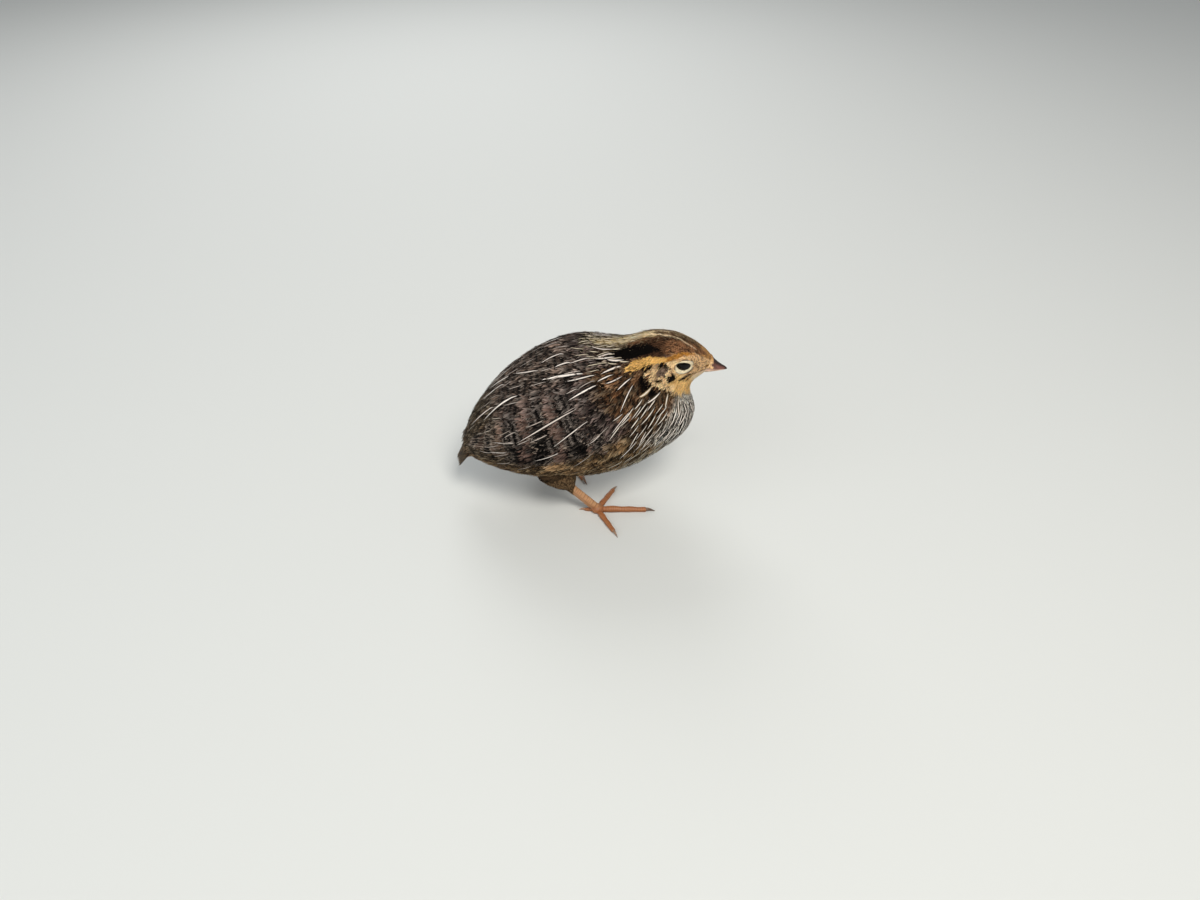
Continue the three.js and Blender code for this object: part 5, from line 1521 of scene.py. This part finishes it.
def scuted(points, wide, tall, columns, plates, lift):
    # Oval rings along a path. Narrow grooves part the plates over the upper side and the
    # small scales round the rest, and each plate tilts up towards its front edge.
    a = np.linspace(0, 2 * pi, columns, endpoint=False)[None, :]
    f = np.linspace(0, 1, len(points))[:, None]
    cell = (f * plates + 0.3 * np.sin(f * 19) + 0.05 * np.cos(a * 3)) % 1
    plate = 0.5 * cell - 1.2 * groove(cell, 0.08)
    row = a * 9 / pi
    small = f * plates * 2 + 0.5 * (np.floor(row) % 2)
    scale = -groove(small, 0.14) - groove(row, 0.16)
    raised = lerp(0.55 * scale, plate, smooth(np.sin(a), 0.15, 0.45))
    grow = 1 + lift * raised
    points, faces = tube(ovalsAlong(points, wide[:, None] * grow, tall[:, None] * grow, a))
    share = np.clip(raised * 0.7 + 0.75, 0, 1)
    return (points, faces), np.concatenate([share.ravel(), [0.5, 0.5]])


def makeBall(foot):
    # the ball of a foot: a flattened globe with a faint grain, down to the ground
    rings, p, a = globe(28, 40, 0.05)
    rings = rings * leg["ball"] * (1 + 0.03 * np.sin(a * 9) * np.sin(p * 9))[..., None] + foot
    rings[..., 2] = np.maximum(rings[..., 2], 0)
    points, faces = tube(rings)
    return (points, faces), np.full(len(points), 0.6)


def makeToe(foot, ahead, length, claw, radius):
    # a toe that thins, swells at its three joints and ends round, and its claw, which bows
    # up as sin(pi g) (1 - g) and comes to a point
    bare = length - claw
    d = np.linspace(1.0, bare, 130)
    joints = 1 + 0.05 * np.cos(2 * pi * d / (bare / 3.0))
    size = radius * (0.86 + 0.14 * smooth(d, 1, 6)) * (1 - 0.3 * d / bare) * joints
    path = foot + ahead * d[:, None]
    path[:, 2] = size * 0.84
    size = size * np.sqrt(np.clip(1 - smooth(d, bare - 1.2, bare + 0.4) ** 2, 0.1, 1))
    shape, share = scuted(path, size, size, 36, round(bare / leg["scuteLength"]), 0.038)
    g = np.linspace(0, 1, 40)
    path = foot + ahead * (bare - 0.6 + (claw + 0.6) * g)[:, None]
    size = lerp(radius * 0.62, 0.12, g ** 1.2)
    path[:, 2] = size + 0.55 * np.sin(pi * g) * (1 - g) + 0.03
    a = np.linspace(0, 2 * pi, 24, endpoint=False)[None, :]
    return shape, share, tube(ovalsAlong(path, size[:, None] * 0.8, size[:, None], a))


def makeFoot(side):
    # the shank, the ball, and the toes as one piece, and the claws as another
    foot, hock = footAt(side), hockAt(side)
    name = sideNames[side]
    f = np.linspace(0, 1, 150)
    path = hock + (foot - hock) * f[:, None]
    thick = 1 + 0.12 * smooth(-f, -0.15, 0) + 0.1 * smooth(f, 0.85, 1)
    tall, wide = leg["shank"]
    shape, share = scuted(path, wide * thick, tall * thick, 48, leg["scutes"], 0.042)
    shapes, shares, claws = [shape], [share], []
    shape, share = makeBall(foot)
    shapes.append(shape)
    shares.append(share)
    for _, angle, length, claw, radius in toes:
        turn = np.radians(angle) * side
        ahead = np.array([np.cos(turn), np.sin(turn), 0])
        shape, share, horn = makeToe(foot, ahead, length, claw, radius)
        shapes.append(shape)
        shares.append(share)
        claws.append(horn)
    points, faces = joined(shapes)
    share = np.concatenate(shares)
    raised = np.stack([share, 1 - smooth(points[:, 2], 2.5, 6), 0 * share], -1)
    names = [f"shank_{name}"] + [f"toe_{toe[0]}_{name}" for toe in toes]
    meshFrom(f"foot_{name}", points, faces, finishes["leg"], names, None, {"raised": raised})
    points, faces = joined(claws)
    # darker with the distance from the ball, apart from the longest claw's very point
    reach = np.linalg.norm(points[:, :2] - foot[:2], axis=1)[:, None]
    longest = max(toe[2] for toe in toes)
    dark = smooth(reach % longest, 12, longest)
    tint = lerp(linear(leg["clawRoot"]), linear(leg["clawTip"]), dark)
    names = [f"claw_{toe[0]}_{name}" for toe in toes]
    meshFrom(f"claws_{name}", points, faces, finishes["claw"], names, None, {"ground": opaque(tint)})


# Studio: the camera's focal length, place in mm and degrees below the level; and the lamps,
# with their places and sizes in m, watts and tints
view = {"lens": 27.0, "at": (6.32, -333.82, 303.40), "down": 40.0}
lamps = [
    ("keyLight", (0.25, -0.55, 0.95), 0.4, 8.4, (1.0, 0.96, 0.9)),
    ("fillLight", (-0.7, -0.5, 0.5), 0.8, 2.4, (0.93, 0.97, 1.0)),
    ("backLight", (-0.2, 0.8, 0.7), 0.6, 4.0, (1.0, 1.0, 1.0)),
]


def makeStudio():
    # a camera, a floor of pale paper, three lamps that look at the bird, and a pale room
    camera = bpy.data.cameras.new("camera")
    camera.lens = view["lens"]
    camera.sensor_width = 36.0
    camera.clip_start = 0.01
    eyePoint = bpy.data.objects.new("camera", camera)
    eyePoint.location = [c * 0.001 for c in view["at"]]
    eyePoint.rotation_euler = (np.radians(90 - view["down"]), 0, 0)
    bpy.context.scene.collection.objects.link(eyePoint)
    bpy.context.scene.camera = eyePoint
    mesh = bpy.data.meshes.new("floor")
    mesh.from_pydata([(-6, -6, 0), (6, -6, 0), (6, 6, 0), (-6, 6, 0)], [], [(0, 1, 2, 3)])
    floor = bpy.data.objects.new("floor", mesh)
    paper, _, _ = material("palePaper", **{"Base Color": colour("#d9dbd8"), "Roughness": 0.9})
    mesh.materials.append(paper)
    bpy.context.scene.collection.objects.link(floor)
    bpy.context.scene.view_settings.view_transform = "Standard"
    for name, place, size, power, tint in lamps:
        light = bpy.data.lights.new(name, "AREA")
        light.energy = power
        light.size = size
        light.color = tint
        lamp = bpy.data.objects.new(name, light)
        lamp.location = place
        x, y, z = np.array(place) - np.array([0, 0, 0.05])
        lamp.rotation_euler = (np.arctan2(np.hypot(x, y), z), 0, np.arctan2(y, x) + pi / 2)
        bpy.context.scene.collection.objects.link(lamp)
    world = bpy.data.worlds.new("studio")
    world.use_nodes = True
    world.node_tree.nodes["Background"].inputs[0].default_value = colour("#e4e8ec")
    world.node_tree.nodes["Background"].inputs[1].default_value = 0.34
    bpy.context.scene.world = world


makeStudio()
print("studio made")
makeSkin()
print("skin made")
makeCoat()
makeStreaks()
makeBarbs()
makeDown()
makeTail()
print("coat and tail made")
for side in sideNames:
    makeWing(side)
    makeThighFeathers(side)
    makeEye(side)
    makeFoot(side)
print("wings, eyes and feet made")
makeLids()
makeBill()
makeBillFeathers()
print("bird made")
